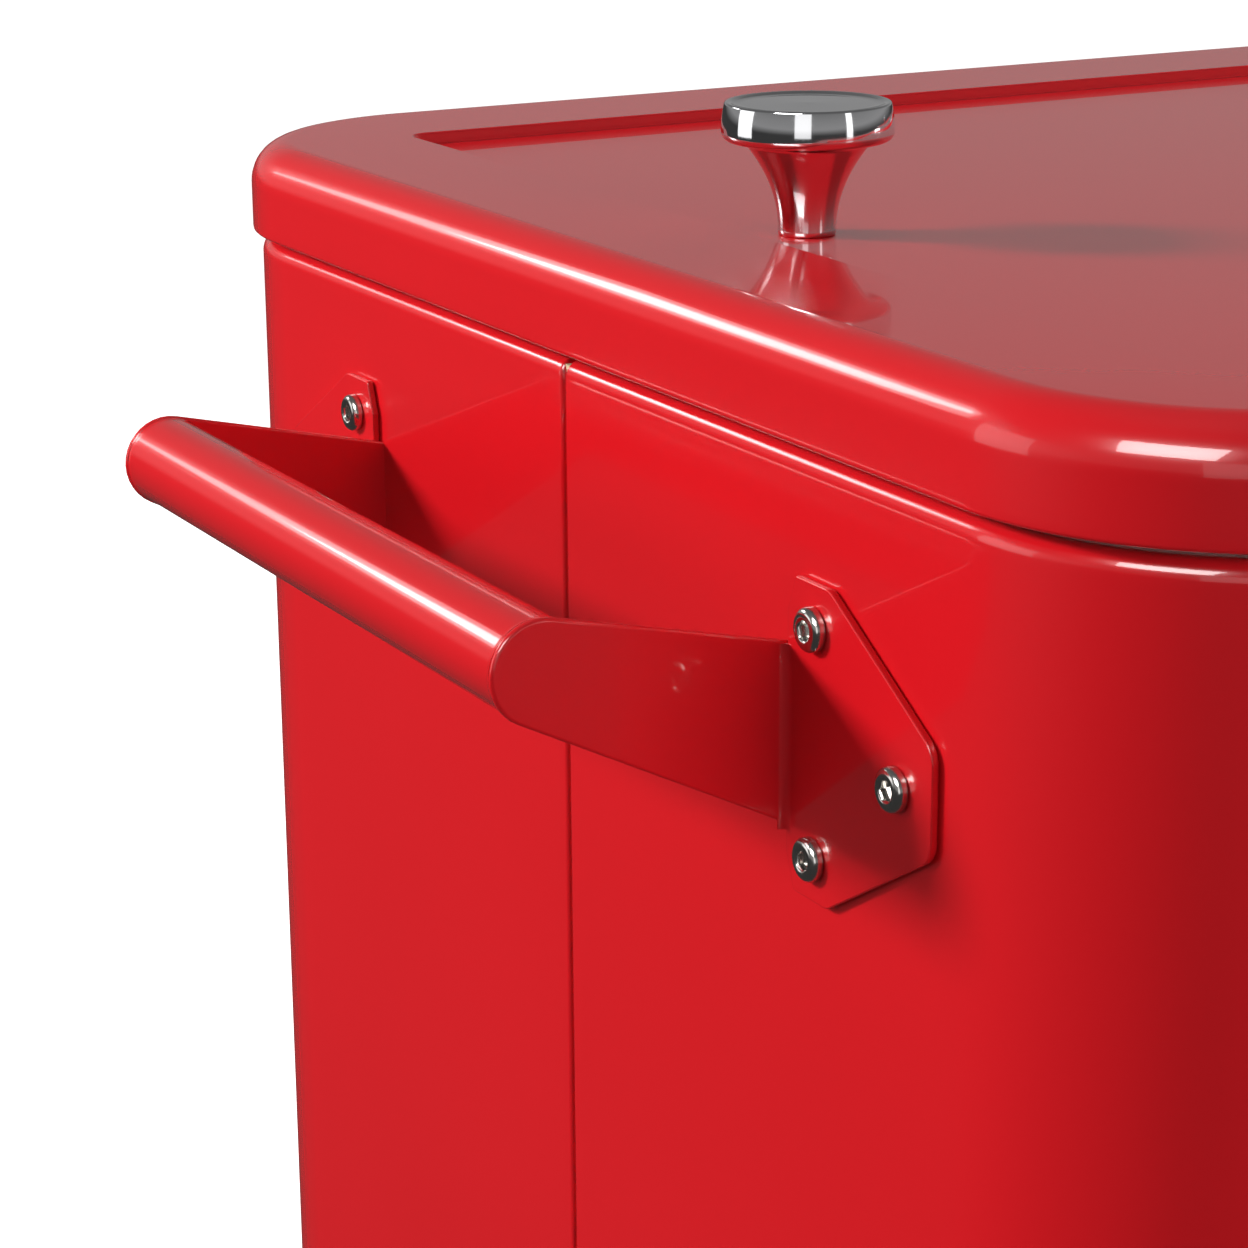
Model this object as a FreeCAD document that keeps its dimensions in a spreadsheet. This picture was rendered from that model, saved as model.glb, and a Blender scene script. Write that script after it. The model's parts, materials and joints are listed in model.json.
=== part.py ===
import FreeCAD
import Part
import Sketcher
import math
import os

# Rolling patio cooler: an insulated, painted steel chest with a split lid, two
# towel-bar handles, a bottle opener and cap catcher, on four legs with casters.
# Frame: X along the chest, -Y to the front, +Z up, Z = 0 on the floor, millimetres.
# The origin is below the middle of the bounding box.

DIMENSIONS = {
    # chest
    "lid_length": 820.0, "lid_depth": 460.0, "lid_corner": 64.0, "lid_skirt": 24.0,
    "lid_edge": 11.0, "lid_gap": 2.0, "body_inset": 2.5, "body_top": 835.0,
    "body_bottom": 510.0, "shoulder": 4.0, "seam_gap": 0.6, "sheet": 1.2,
    "top_flange": 26.0, "pan_height": 12.0, "slack": 0.2,
    # well and liner
    "well_length": 739.0, "well_depth": 378.0, "well_corner": 40.0, "liner_wall": 2.5,
    "well_height": 280.0, "well_fillet": 8.0, "liner_rim_inset": 10.0,
    # lids
    "bar_width": 32.0, "hinge_gap": 1.5, "recess_margin": 51.0, "recess_margin_end": 47.0,
    "recess_margin_inner": 26.0,
    "recess_drop": 3.0, "recess_corner": 6.0, "panel_sheet": 2.0, "gasket_height": 2.8,
    "gasket_inset": 13.0, "gasket_width": 12.0, "gasket_width_bar": 7.6,
    "plug_drop": 8.5, "plug_slack": 4.0, "foam_hole": 8.0, "foam_hole_play": 1.0,
    "bar_flange": 14.0, "bar_sheet": 1.5, "bar_foot": 6.0, "bar_play": 1.0,
    "hinge_spread": 120.0, "hinge_length": 60.0, "knuckle": 3.0, "pin": 2.0,
    "leaf": 1.5, "leaf_bar": 10.0, "leaf_lid": 13.0, "running": 0.05,
    # knob
    "knob_from_end": 67.3, "knob_cap": 20.3, "knob_cap_height": 9.0, "knob_height": 31.0,
    "knob_neck": 14.1, "knob_foot": 7.2, "knob_lip": 1.0, "knob_rim": 2.0, "knob_edge": 0.8,
    # handles, measured out from the end of the chest and down from the lid's edge
    "plate_sheet": 2.0, "plate_bend": 103.0, "plate_flat": 119.0, "plate_outer": 157.0,
    "plate_half": 34.0, "plate_tip_half": 11.2, "plate_drop": 61.0, "plate_round": 6.0,
    "plate_knee_round": 5.0, "plate_ear": 3.0, "plate_ear_round": 1.0,
    "plate_chamfer": 8.0, "bend_relief": 1.5,
    "leg_top_drop": 42.3, "leg_low_drop": 82.7, "bar_reach": 58.0, "bar_drop": 40.0,
    "bar_radius": 11.0, "bar_wall": 1.5, "leg_tip": 11.3,
    "screw_inner": 113.5, "screw_outer": 144.5, "screw_rise": 24.6,
    # button screws and rivet nuts
    "screw_shank": 2.5, "screw_head": 4.75, "screw_head_height": 2.75, "screw_length": 12.0,
    "hex_socket": 3.0, "hex_depth": 1.7, "nut_radius": 3.5, "nut_flange": 5.0, "nut_length": 11.0,
    # drain
    "drain_height": 582.0, "drain_bore": 7.0, "drain_tube": 11.0, "drain_flange": 15.0,
    "drain_flange_height": 2.5, "drain_reach": 24.0, "drain_nut_across": 30.0,
    "drain_nut_height": 6.0, "seal_height": 2.0, "cap_wall": 3.0, "cap_radius": 16.5,
    "cap_length": 21.5,
    # opener and cap catcher
    "opener_width": 44.0, "opener_height": 70.0, "opener_sheet": 3.0, "opener_drop": 60.0,
    "opener_round": 6.0, "hood_outer": 20.0, "hood_inner": 15.0, "hood_reach": 20.0,
    "hood_round": 14.0, "lip": 5.0, "lip_depth": 4.0,
    "catcher_width": 120.0, "catcher_reach": 45.0, "catcher_height": 130.0,
    "catcher_drop": 165.0, "catcher_spread": 40.0, "catcher_lift": 10.0, "catcher_rise": 20.0,
    "catcher_corner": 5.0, "catcher_eye": 1.4,
    # underframe
    "leg_x": 350.0, "leg_y": 175.0, "leg_tube": 30.0, "leg_wall": 1.5, "leg_corner": 3.0,
    "leg_plate": 64.0, "leg_plate_sheet": 3.0, "leg_plate_round": 6.0,
    "leg_bolt_spread": 24.0, "leg_bottom": 72.0,
    "shelf_top": 185.0, "shelf_sheet": 1.5, "shelf_apron": 28.0, "slot_width": 12.0,
    "slot_length": 280.0, "slot_pitch": 36.0, "slot_rows": 9.0, "slot_from_middle": 16.0,
    "bolt_shank": 3.0, "bolt_across": 10.0, "bolt_head": 4.0, "bolt_length": 12.0,
    # casters
    "wheel_radius": 25.0, "wheel_width": 20.0, "axle": 4.0, "trail": 18.0, "fork_gap": 11.0,
    "fork_sheet": 2.0, "fork_top": 57.0, "fork_plate": 15.0, "race_radius": 16.0,
    "race_height": 6.0, "kingpin": 4.0, "stem": 5.0, "stem_top": 92.0, "plug_height": 22.0,
    "plug_cap": 3.0, "stem_hex": 16.0, "stem_play": 0.3, "kingpin_head": 3.0,
    "kingpin_lip": 2.5, "cheek_front": 5.0, "cheek_tip": 7.0, "cheek_round": 4.0,
    "cheek_back": 6.0, "axle_head": 2.0, "tread_round": 2.5, "wheel_rim": 7.0,
    "wheel_hub": 4.0, "wheel_dish": 4.0,
    "brake_back": 12.0, "brake_height": 53.0, "brake_pin": 1.5, "brake_thick": 3.0,
    "brake_reach": 44.0, "brake_rise": 6.0, "brake_play": 1.0, "brake_knee": 14.0,
    "brake_nose": 3.0,
}

doc = FreeCAD.newDocument("patio_cooler")
sheet = doc.addObject("Spreadsheet::Sheet", "dims")
for row, (name, value) in enumerate(DIMENSIONS.items(), start=1):
    sheet.set(f"A{row}", name)
    sheet.set(f"B{row}", repr(value))
    sheet.setAlias(f"B{row}", name)
doc.recompute()


class Size:
    """A length that knows both its number and the sheet expression that gives it."""

    def __init__(self, number, formula=None):
        self.number = float(number)
        self.formula = formula or f"({self.number!r})"

    def _join(self, other, sign, number):
        return Size(number, f"({self.formula} {sign} {size(other).formula})")

    def __add__(self, other):
        return self._join(other, "+", self.number + size(other).number)

    def __sub__(self, other):
        return self._join(other, "-", self.number - size(other).number)

    def __mul__(self, other):
        return self._join(other, "*", self.number * size(other).number)

    def __truediv__(self, other):
        return self._join(other, "/", self.number / size(other).number)

    def __rsub__(self, other):
        return size(other) - self

    def __neg__(self):
        return Size(-self.number, f"(-{self.formula})")

    __radd__ = __add__
    __rmul__ = __mul__


def size(value):
    return value if isinstance(value, Size) else Size(value)


class Dims:
    """The sheet's driving dimensions as Size values: dims.lid_length and so on."""

    def __getattr__(self, alias):
        return Size(DIMENSIONS[alias], f"dims.{alias}")


d = Dims()

# ---- sizes worked out from the driving dimensions -------------------------------
lid_bottom = d.body_top + d.lid_gap
lid_top = lid_bottom + d.lid_skirt
body_length = d.lid_length - 2 * d.body_inset
body_depth = d.lid_depth - 2 * d.body_inset
body_corner = d.lid_corner - d.body_inset
end_face = body_length / 2
front_face = body_depth / 2
rim_top = d.body_top + d.liner_wall + d.slack / 2
well_floor = rim_top - d.well_height
well_half = d.well_length / 2
lid_inner_edge = d.bar_width / 2 + d.hinge_gap
hinge_x = d.bar_width / 2 + d.hinge_gap / 2
hinge_z = lid_top + d.knuckle + d.slack
panel_bottom = rim_top + d.slack / 2 + d.gasket_height
y_shift = (front_face + d.catcher_reach - d.lid_depth / 2) / 2
nodes = []


def settle(feature):
    """Recompute, and stop at the feature that failed."""
    doc.recompute()
    if "Invalid" in feature.State or "Error" in feature.State:
        raise RuntimeError(f"{feature.Name} failed: {feature.State}")
    return feature


def bind(obj, prop, value):
    obj.setExpression(prop, size(value).formula)


def place(obj, x=0, y=0, z=0, turn=0):
    """Put a finished sub-part in the object's frame, turned about Z, and list it."""
    obj.Placement = FreeCAD.Placement(
        vec(x, y_shift + y, z), FreeCAD.Rotation(FreeCAD.Vector(0, 0, 1), turn))
    bind(obj, "Placement.Base.x", x)
    bind(obj, "Placement.Base.y", y_shift + y)
    bind(obj, "Placement.Base.z", z)
    nodes.append(obj)
    return obj


def vec(x, y, z=0.0):
    """A plain vector with the sizes' present values."""
    return FreeCAD.Vector(size(x).number, size(y).number, size(z).number)


# ---- sketches --------------------------------------------------------------------
def new_body(label):
    body = doc.addObject("PartDesign::Body", label)
    body.Label = label
    return body


def new_sketch(body, role, offset=0):
    """A sketch on one of the body's own origin planes, moved along its normal."""
    sketch = body.newObject("Sketcher::SketchObject", body.Label + "_sketch")
    plane = next(f for f in body.Origin.OriginFeatures if f.Role == role)
    sketch.AttachmentSupport = [(plane, "")]
    sketch.MapMode = "FlatFace"
    sketch.AttachmentOffset = FreeCAD.Placement(vec(0, 0, offset), FreeCAD.Rotation())
    bind(sketch, "AttachmentOffset.Base.z", offset)
    return sketch


def fix(sketch, kind, value, *where):
    """A dimension on the sketch, bound to the sheet."""
    value = size(value)
    index = sketch.addConstraint(Sketcher.Constraint(kind, *where, value.number))
    sketch.setExpression(f"Constraints[{index}]", value.formula)


def fix_point(sketch, geometry, end, x, y):
    fix(sketch, "DistanceX", x, -1, 1, geometry, end)
    fix(sketch, "DistanceY", y, -1, 1, geometry, end)


def add_arc(sketch, centre, radius, start, stop):
    """An arc that runs counter-clockwise from start to stop."""
    angles = [math.atan2(point.y - centre.y, point.x - centre.x) for point in (start, stop)]
    if angles[1] < angles[0]:
        angles[1] += 2 * math.pi
    ring = Part.Circle(centre, FreeCAD.Vector(0, 0, 1), radius)
    return sketch.addGeometry(Part.ArcOfCircle(ring, *angles), False)


def outline(sketch, corners):
    """A closed outline through (x, y) or (x, y, radius) corners."""
    count = len(corners)
    points = [vec(c[0], c[1]) for c in corners]
    cuts = []
    for i, corner in enumerate(corners):
        back = (points[i - 1] - points[i]).normalize()
        ahead = (points[(i + 1) % count] - points[i]).normalize()
        reach = 0.0
        if len(corner) == 3:
            reach = size(corner[2]).number / math.tan(back.getAngle(ahead) / 2)
        cuts.append((points[i] + back * reach, points[i] + ahead * reach, back, ahead))
    lines = []
    for i in range(count):
        segment = Part.LineSegment(cuts[i][1], cuts[(i + 1) % count][0])
        lines.append(sketch.addGeometry(segment, False))
    for i, corner in enumerate(corners):
        before, after = lines[i - 1], lines[i]
        if len(corner) == 2:
            sketch.addConstraint(Sketcher.Constraint("Coincident", before, 2, after, 1))
            fix_point(sketch, after, 1, corner[0], corner[1])
            continue
        start, stop, back, ahead = cuts[i]
        radius = size(corner[2]).number
        half = back.getAngle(ahead) / 2
        inward = (back + ahead).normalize()
        centre = points[i] + inward * (radius / math.sin(half))
        left_turn = ahead.cross(back).z > 0
        arc = add_arc(sketch, centre, radius, *((start, stop) if left_turn else (stop, start)))
        first, last = (1, 2) if left_turn else (2, 1)
        sketch.addConstraint(Sketcher.Constraint("Tangent", before, 2, arc, first))
        sketch.addConstraint(Sketcher.Constraint("Tangent", arc, last, after, 1))
        fix(sketch, "Radius", corner[2], arc)
        apex = sketch.addGeometry(Part.Point(points[i]), True)
        fix_point(sketch, apex, 1, corner[0], corner[1])
        sketch.addConstraint(Sketcher.Constraint("PointOnObject", apex, 1, before))
        sketch.addConstraint(Sketcher.Constraint("PointOnObject", apex, 1, after))


def rectangle(sketch, x0, x1, y0, y1, radius=None):
    corners = [(x0, y0), (x1, y0), (x1, y1), (x0, y1)]
    outline(sketch, corners if radius is None else [c + (radius,) for c in corners])


def circle(sketch, x, y, radius):
    index = sketch.addGeometry(Part.Circle(vec(x, y), FreeCAD.Vector(0, 0, 1),
                                           size(radius).number), False)
    fix_point(sketch, index, 3, x, y)
    fix(sketch, "Radius", radius, index)


def hexagon(sketch, x, y, across):
    """A hexagon with the given width across its flats, two flats facing along X."""
    point = across / math.sqrt(3)
    side = across / 2
    outline(sketch, [(x + side, y - point / 2), (x + side, y + point / 2), (x, y + point),
                     (x - side, y + point / 2), (x - side, y - point / 2), (x, y - point)])


# ---- features --------------------------------------------------------------------
def pad(body, sketch, length, reverse=False):
    feature = body.newObject("PartDesign::Pad", body.Label + "_pad")
    feature.Profile = sketch
    feature.Reversed = reverse
    feature.Length = size(length).number
    bind(feature, "Length", length)
    return settle(feature)


def pocket(body, sketch, length, reverse=False):
    """A pocket against the sketch's normal, or along it when reversed."""
    before = body.Shape.Volume
    feature = body.newObject("PartDesign::Pocket", body.Label + "_pocket")
    feature.Profile = sketch
    feature.Reversed = reverse
    feature.Length = size(length).number
    bind(feature, "Length", length)
    settle(feature)
    if before - body.Shape.Volume < 0.01:
        raise RuntimeError(f"{feature.Name} cuts nothing")
    return feature


def revolve(body, sketch, axis):
    feature = body.newObject("PartDesign::Revolution", body.Label + "_turn")
    feature.Profile = sketch
    feature.ReferenceAxis = (sketch, [axis])
    feature.Angle = 360.0
    return settle(feature)


def round_edges(body, radius, wanted):
    """Fillet the edges of the body's tip whose middle satisfies wanted(edge, middle)."""
    base = body.Tip
    names = []
    for index, edge in enumerate(base.Shape.Edges, start=1):
        middle = edge.valueAt((edge.FirstParameter + edge.LastParameter) / 2)
        if wanted(edge, middle):
            names.append(f"Edge{index}")
    feature = body.newObject("PartDesign::Fillet", body.Label + "_round")
    feature.Base = (base, names)
    feature.Radius = size(radius).number
    bind(feature, "Radius", radius)
    return settle(feature)


def near(a, b):
    return abs(a - size(b).number) < 0.01


def flat_at(z):
    """Edges that lie wholly in the plane at height z."""
    return lambda edge, middle: near(edge.BoundBox.ZMin, z) and near(edge.BoundBox.ZMax, z)


def slab(body, x0, x1, y0, y1, z0, height, radius=None):
    sketch = new_sketch(body, "XY_Plane", z0)
    rectangle(sketch, x0, x1, y0, y1, radius)
    return pad(body, sketch, height)


def hollow(body, x0, x1, y0, y1, z0, height, radius=None):
    """Cut a rounded box out of the body, from z0 upwards."""
    sketch = new_sketch(body, "XY_Plane", z0)
    rectangle(sketch, x0, x1, y0, y1, radius)
    return pocket(body, sketch, height, reverse=True)


def drill(body, role, offset, spots, radius, depth, reverse=False):
    """Round holes at the (x, y) spots of a sketch on the given origin plane."""
    sketch = new_sketch(body, role, offset)
    for x, y in spots:
        circle(sketch, x, y, radius)
    return pocket(body, sketch, depth, reverse)


def repeat_along_y(body, feature, count, pitch):
    """Repeat a feature towards +Y."""
    pattern = body.newObject("PartDesign::LinearPattern", body.Label + "_rows")
    pattern.Originals = [feature]
    axis = next(f for f in body.Origin.OriginFeatures if f.Role == "Y_Axis")
    pattern.Direction = (axis, [""])
    pattern.Occurrences = int(count.number)
    pattern.Length = ((count - 1) * pitch).number
    bind(pattern, "Length", (count - 1) * pitch)
    body.Tip = pattern
    return settle(pattern)


def group(label, shapes):
    """Identical loose pieces in one sub-part, as separate solids."""
    piece = doc.addObject("Part::Feature", label)
    piece.Label = label
    piece.Shape = Part.makeCompound(shapes)
    return place(piece)


def moved(shape, x, y, z, turn=0.0, tilt=0.0):
    """A copy of a shape, tilted about Y, turned about Z, then moved."""
    copy = shape.copy()
    spin = FreeCAD.Rotation(FreeCAD.Vector(0, 0, 1), turn)
    lean = FreeCAD.Rotation(FreeCAD.Vector(0, 1, 0), tilt)
    copy.Placement = FreeCAD.Placement(vec(x, y, z), spin * lean)
    return copy


# ---- places of the fasteners -----------------------------------------------------
screw_spots = [(d.screw_inner, d.screw_rise), (d.screw_inner, -d.screw_rise),
               (d.screw_outer, 0)]
plate_z = lid_bottom - d.plate_drop
opener_z = lid_bottom - d.opener_drop
opener_screws = [d.opener_height / 2 - 10, -d.opener_height / 2 + 10]
catcher_z = lid_bottom - d.catcher_drop
end_nut_spots = [(side * y, plate_z + rise) for y, rise in screw_spots for side in (-1, 1)]
front_nut_spots = [(0, opener_z + rise) for rise in opener_screws]
front_nut_spots += [(side * d.catcher_spread, catcher_z) for side in (-1, 1)]
leg_spots = {"front_left": (-1, -1), "front_right": (1, -1),
             "back_left": (-1, 1), "back_right": (1, 1)}


# ---- chest -----------------------------------------------------------------------
def shell(label, side):
    """One of the two C-shaped wraps of painted sheet, with its rounded shoulder."""
    body = new_body(label)
    height = d.body_top - d.body_bottom

    def wrap(inset):
        return [(-end_face + inset, side * d.seam_gap / 2),
                (-end_face + inset, side * (front_face - inset), body_corner - inset),
                (end_face - inset, side * (front_face - inset), body_corner - inset),
                (end_face - inset, side * d.seam_gap / 2)]

    sketch = new_sketch(body, "XY_Plane", d.body_bottom)
    outline(sketch, wrap(size(0)))
    pad(body, sketch, height)
    seam = (d.seam_gap / 2).number
    top = flat_at(d.body_top)
    round_edges(body, d.shoulder,
                lambda e, m: top(e, m) and abs(m.y) > seam + 1)
    inner = new_sketch(body, "XY_Plane", d.body_bottom)
    outline(inner, wrap(d.sheet))
    pocket(body, inner, height - d.sheet, reverse=True)
    mouth = new_sketch(body, "XY_Plane", d.body_bottom)
    outline(mouth, wrap(d.top_flange))
    pocket(body, mouth, height, reverse=True)
    for direction in (-1, 1):
        drill(body, "YZ_Plane", 0, [s for s in end_nut_spots
                                    if side * s[0].number > 0],
              d.nut_radius, body_length, reverse=direction > 0)
    if side < 0:
        drill(body, "XZ_Plane", 0, front_nut_spots, d.nut_radius, body_depth, reverse=True)
        drill(body, "YZ_Plane", 0, [(drain_y, d.drain_height)], d.drain_tube + d.running,
              body_length, reverse=True)
    bar_holes = [(0, side * bar_screw_y)]
    drill(body, "XY_Plane", d.body_bottom, bar_holes, d.screw_shank + d.slack,
          height, reverse=True)
    return place(body)


drain_y = -d.lid_depth / 4
bar_screw_y = front_face - 18


def bottom_pan():
    """Shallow tray that closes the shell from below."""
    body = new_body("bottom_pan")
    gap = d.sheet + d.slack / 2
    edge = end_face - gap
    side = front_face - gap
    slab(body, -edge, edge, -side, side, d.body_bottom, d.pan_height, body_corner - gap)
    hollow(body, -edge + d.sheet, edge - d.sheet, -side + d.sheet, side - d.sheet,
           d.body_bottom + d.sheet, d.pan_height, body_corner - gap - d.sheet)
    drill(body, "XY_Plane", d.body_bottom, leg_bolt_spots(), d.bolt_shank + d.running,
          d.sheet, reverse=True)
    return place(body)


def leg_bolt_spots():
    return [(sx * d.leg_x + ax * d.leg_bolt_spread, sy * d.leg_y + ay * d.leg_bolt_spread)
            for sx, sy in leg_spots.values() for ax in (-1, 1) for ay in (-1, 1)]


def insulation():
    """Foam between the shell and the liner, with room for the fasteners."""
    body = new_body("insulation")
    gap = d.sheet + d.slack
    edge = end_face - gap
    side = front_face - gap
    bottom = d.body_bottom + d.pan_height + 2
    top = d.body_top - d.sheet - d.slack
    slab(body, -edge, edge, -side, side, bottom, top - bottom, body_corner - gap)
    well = well_half + d.liner_wall + d.slack
    deep = d.well_depth / 2 + d.liner_wall + d.slack
    hollow(body, -well, well, -deep, deep, well_floor - d.liner_wall - d.slack, d.body_top,
           d.well_corner + d.liner_wall + d.slack)
    nut_room = d.nut_flange + 1
    nut_depth = d.nut_length + 3
    for sign in (-1, 1):
        drill(body, "YZ_Plane", sign * edge, end_nut_spots, nut_room, nut_depth,
              reverse=sign < 0)
    drill(body, "XZ_Plane", side, front_nut_spots, nut_room, nut_depth)
    drill(body, "YZ_Plane", 0, [(drain_y, d.drain_height)], d.drain_tube + d.slack,
          body_length, reverse=True)
    drill(body, "XY_Plane", top, [(0, bar_screw_y), (0, -bar_screw_y)], d.screw_head + d.foam_hole_play,
          d.foam_hole)
    return place(body)


def liner():
    """Moulded tub with a rim that lies on the shell's top flange."""
    body = new_body("liner")
    wall = d.liner_wall
    well = well_half + wall
    deep = d.well_depth / 2 + wall
    bottom = well_floor - wall
    slab(body, -well, well, -deep, deep, bottom, rim_top - bottom, d.well_corner + wall)
    inside = (-well_half, well_half, -d.well_depth / 2, d.well_depth / 2)
    hollow(body, *inside, well_floor, d.well_height, d.well_corner)
    round_edges(body, d.well_fillet, flat_at(well_floor))
    round_edges(body, d.well_fillet + wall, flat_at(bottom))
    edge = end_face - d.liner_rim_inset
    side = front_face - d.liner_rim_inset
    slab(body, -edge, edge, -side, side, rim_top - wall, wall,
         body_corner - d.liner_rim_inset)
    hollow(body, *inside, rim_top - wall, wall, d.well_corner)
    drill(body, "YZ_Plane", 0, [(drain_y, d.drain_height)], d.drain_tube + d.running,
          body_length, reverse=True)
    drill(body, "XY_Plane", rim_top - wall, [(0, bar_screw_y), (0, -bar_screw_y)],
          d.screw_shank + d.slack, wall, reverse=True)
    return place(body)


def centre_bar():
    """Hollow bar across the chest between the lids, with flanges for their gaskets."""
    body = new_body("centre_bar")
    half = d.bar_width / 2
    side = d.lid_depth / 2
    span = d.well_depth / 2 - 1
    foot = rim_top + d.slack / 2
    slab(body, -half, half, -side, side, lid_bottom, d.lid_skirt)
    round_edges(body, d.lid_edge, lambda e, m: near(m.z, lid_top) and near(abs(m.y), side))
    wall = d.bar_sheet
    hollow(body, -half + wall, half - wall, -side + wall, side - wall,
           lid_bottom, d.lid_skirt - d.lid_edge)
    hollow(body, -half + wall, half - wall, -side + d.lid_edge, side - d.lid_edge,
           lid_bottom, d.lid_skirt - wall)
    rim = side - d.body_inset - d.liner_rim_inset + d.bar_play
    hollow(body, -half, half, -rim, -span, lid_bottom, foot - lid_bottom)
    hollow(body, -half, half, span, rim, lid_bottom, foot - lid_bottom)
    for sign in (-1, 1):
        inner, outer = (half - wall, half + d.bar_flange)
        low, high = (inner, outer) if sign > 0 else (-outer, -inner)
        slab(body, low, high, -span, span, rim_top - d.sheet, d.sheet)
    for sign in (-1, 1):
        low, high = sorted((sign * (bar_screw_y - d.bar_foot),
                            sign * (bar_screw_y + d.bar_foot)),
                           key=lambda value: value.number)
        slab(body, -half + d.bar_play, half - d.bar_play, low, high, foot, d.bar_foot)
    drill(body, "XY_Plane", foot, [(0, bar_screw_y), (0, -bar_screw_y)], d.screw_shank,
          d.bar_foot, reverse=True)
    return place(body)


# ---- lids ------------------------------------------------------------------------
# The left lid is drawn in place; the right lid is the same piece turned half round.
# Both are symmetric front to back, so a half turn puts each one where it belongs.
def lid_pair(name, make):
    for label, turn in (("left", 0), ("right", 180)):
        place(make(f"{label}_{name}"), turn=turn)


def lid_shell(label):
    """Pressed lid skin with a recessed panel in its top."""
    body = new_body(label)
    outer = d.lid_length / 2
    side = d.lid_depth / 2
    sketch = new_sketch(body, "XY_Plane", lid_bottom)
    outline(sketch, [(-outer, -side, d.lid_corner), (-lid_inner_edge, -side),
                     (-lid_inner_edge, side), (-outer, side, d.lid_corner)])
    pad(body, sketch, d.lid_skirt)
    top = flat_at(lid_top)
    inner_x = -lid_inner_edge.number
    round_edges(body, d.lid_edge, lambda e, m: top(e, m) and not near(m.x, inner_x))
    skin = d.sheet
    under = new_sketch(body, "XY_Plane", lid_bottom)
    outline(under, [(-outer + skin, -side + skin, d.lid_corner - skin),
                    (-lid_inner_edge - skin, -side + skin),
                    (-lid_inner_edge - skin, side - skin),
                    (-outer + skin, side - skin, d.lid_corner - skin)])
    pocket(body, under, d.lid_skirt - d.lid_edge, reverse=True)
    crown = new_sketch(body, "XY_Plane", lid_bottom)
    inset = d.lid_edge
    outline(crown, [(-outer + inset, -side + inset, d.lid_corner - inset),
                    (-lid_inner_edge - skin, -side + inset),
                    (-lid_inner_edge - skin, side - inset),
                    (-outer + inset, side - inset, d.lid_corner - inset)])
    pocket(body, crown, d.lid_skirt - d.recess_drop - skin, reverse=True)
    hollow(body, -outer + d.recess_margin_end, -lid_inner_edge - d.recess_margin_inner,
           -side + d.recess_margin, side - d.recess_margin,
           lid_top - d.recess_drop, d.recess_drop, d.recess_corner)
    hollow(body, -lid_inner_edge - skin, -lid_inner_edge, -side + skin, side - skin,
           lid_bottom, rim_top - lid_bottom + d.slack)
    drill(body, "XY_Plane", lid_top - d.recess_drop, [(knob_x, 0)],
          d.screw_shank + d.running, d.recess_drop)
    return body


knob_x = -d.lid_length / 2 + d.knob_from_end


def lid_inner(label):
    """Moulded underside of the lid, with a plug that drops into the well."""
    body = new_body(label)
    inset = d.sheet + d.slack
    outer = d.lid_length / 2 - inset
    side = d.lid_depth / 2 - inset
    edge = lid_inner_edge + inset
    sketch = new_sketch(body, "XY_Plane", panel_bottom)
    outline(sketch, [(-outer, -side, d.lid_corner - inset), (-edge, -side), (-edge, side),
                     (-outer, side, d.lid_corner - inset)])
    pad(body, sketch, d.panel_sheet)
    plug_x = well_half - d.plug_slack
    plug_y = d.well_depth / 2 - d.plug_slack
    plug_edge = d.bar_width / 2 + d.bar_flange + d.plug_slack
    plug_bottom = rim_top - d.plug_drop
    slab(body, -plug_x, -plug_edge, -plug_y, plug_y, plug_bottom,
         panel_bottom - plug_bottom, d.well_corner - d.plug_slack)
    wall = d.panel_sheet
    hollow(body, -plug_x + wall, -plug_edge - wall, -plug_y + wall, plug_y - wall,
           plug_bottom + wall, panel_bottom - plug_bottom, d.well_corner - d.plug_slack - wall)
    return body


def lid_foam(label):
    """Foam that fills the lid between its skin and its underside."""
    body = new_body(label)
    inset = d.lid_edge + d.slack
    outer = d.lid_length / 2 - inset
    side = d.lid_depth / 2 - inset
    edge = lid_inner_edge + d.sheet + d.slack
    bottom = panel_bottom + d.panel_sheet + d.slack
    top = lid_top - d.recess_drop - d.sheet - d.slack
    sketch = new_sketch(body, "XY_Plane", bottom)
    outline(sketch, [(-outer, -side, d.lid_corner - inset), (-edge, -side), (-edge, side),
                     (-outer, side, d.lid_corner - inset)])
    pad(body, sketch, top - bottom)
    drill(body, "XY_Plane", top, [(knob_x, 0)], d.screw_head + d.foam_hole_play,
          d.foam_hole)
    return body


def lid_gasket(label):
    """Soft seal round the underside of the lid."""
    body = new_body(label)
    outer = end_face - d.gasket_inset
    side = front_face - d.gasket_inset
    edge = lid_inner_edge + d.sheet + d.slack
    band = d.gasket_width
    corner = body_corner - d.gasket_inset
    bottom = rim_top + d.slack / 2
    sketch = new_sketch(body, "XY_Plane", bottom)
    outline(sketch, [(-outer, -side, corner), (-edge, -side), (-edge, side),
                     (-outer, side, corner)])
    pad(body, sketch, d.gasket_height)
    inside = new_sketch(body, "XY_Plane", bottom)
    outline(inside, [(-outer + band, -side + band, corner - band),
                     (-edge - d.gasket_width_bar, -side + band),
                     (-edge - d.gasket_width_bar, side - band),
                     (-outer + band, side - band, corner - band)])
    pocket(body, inside, d.gasket_height, reverse=True)
    return body


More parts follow.
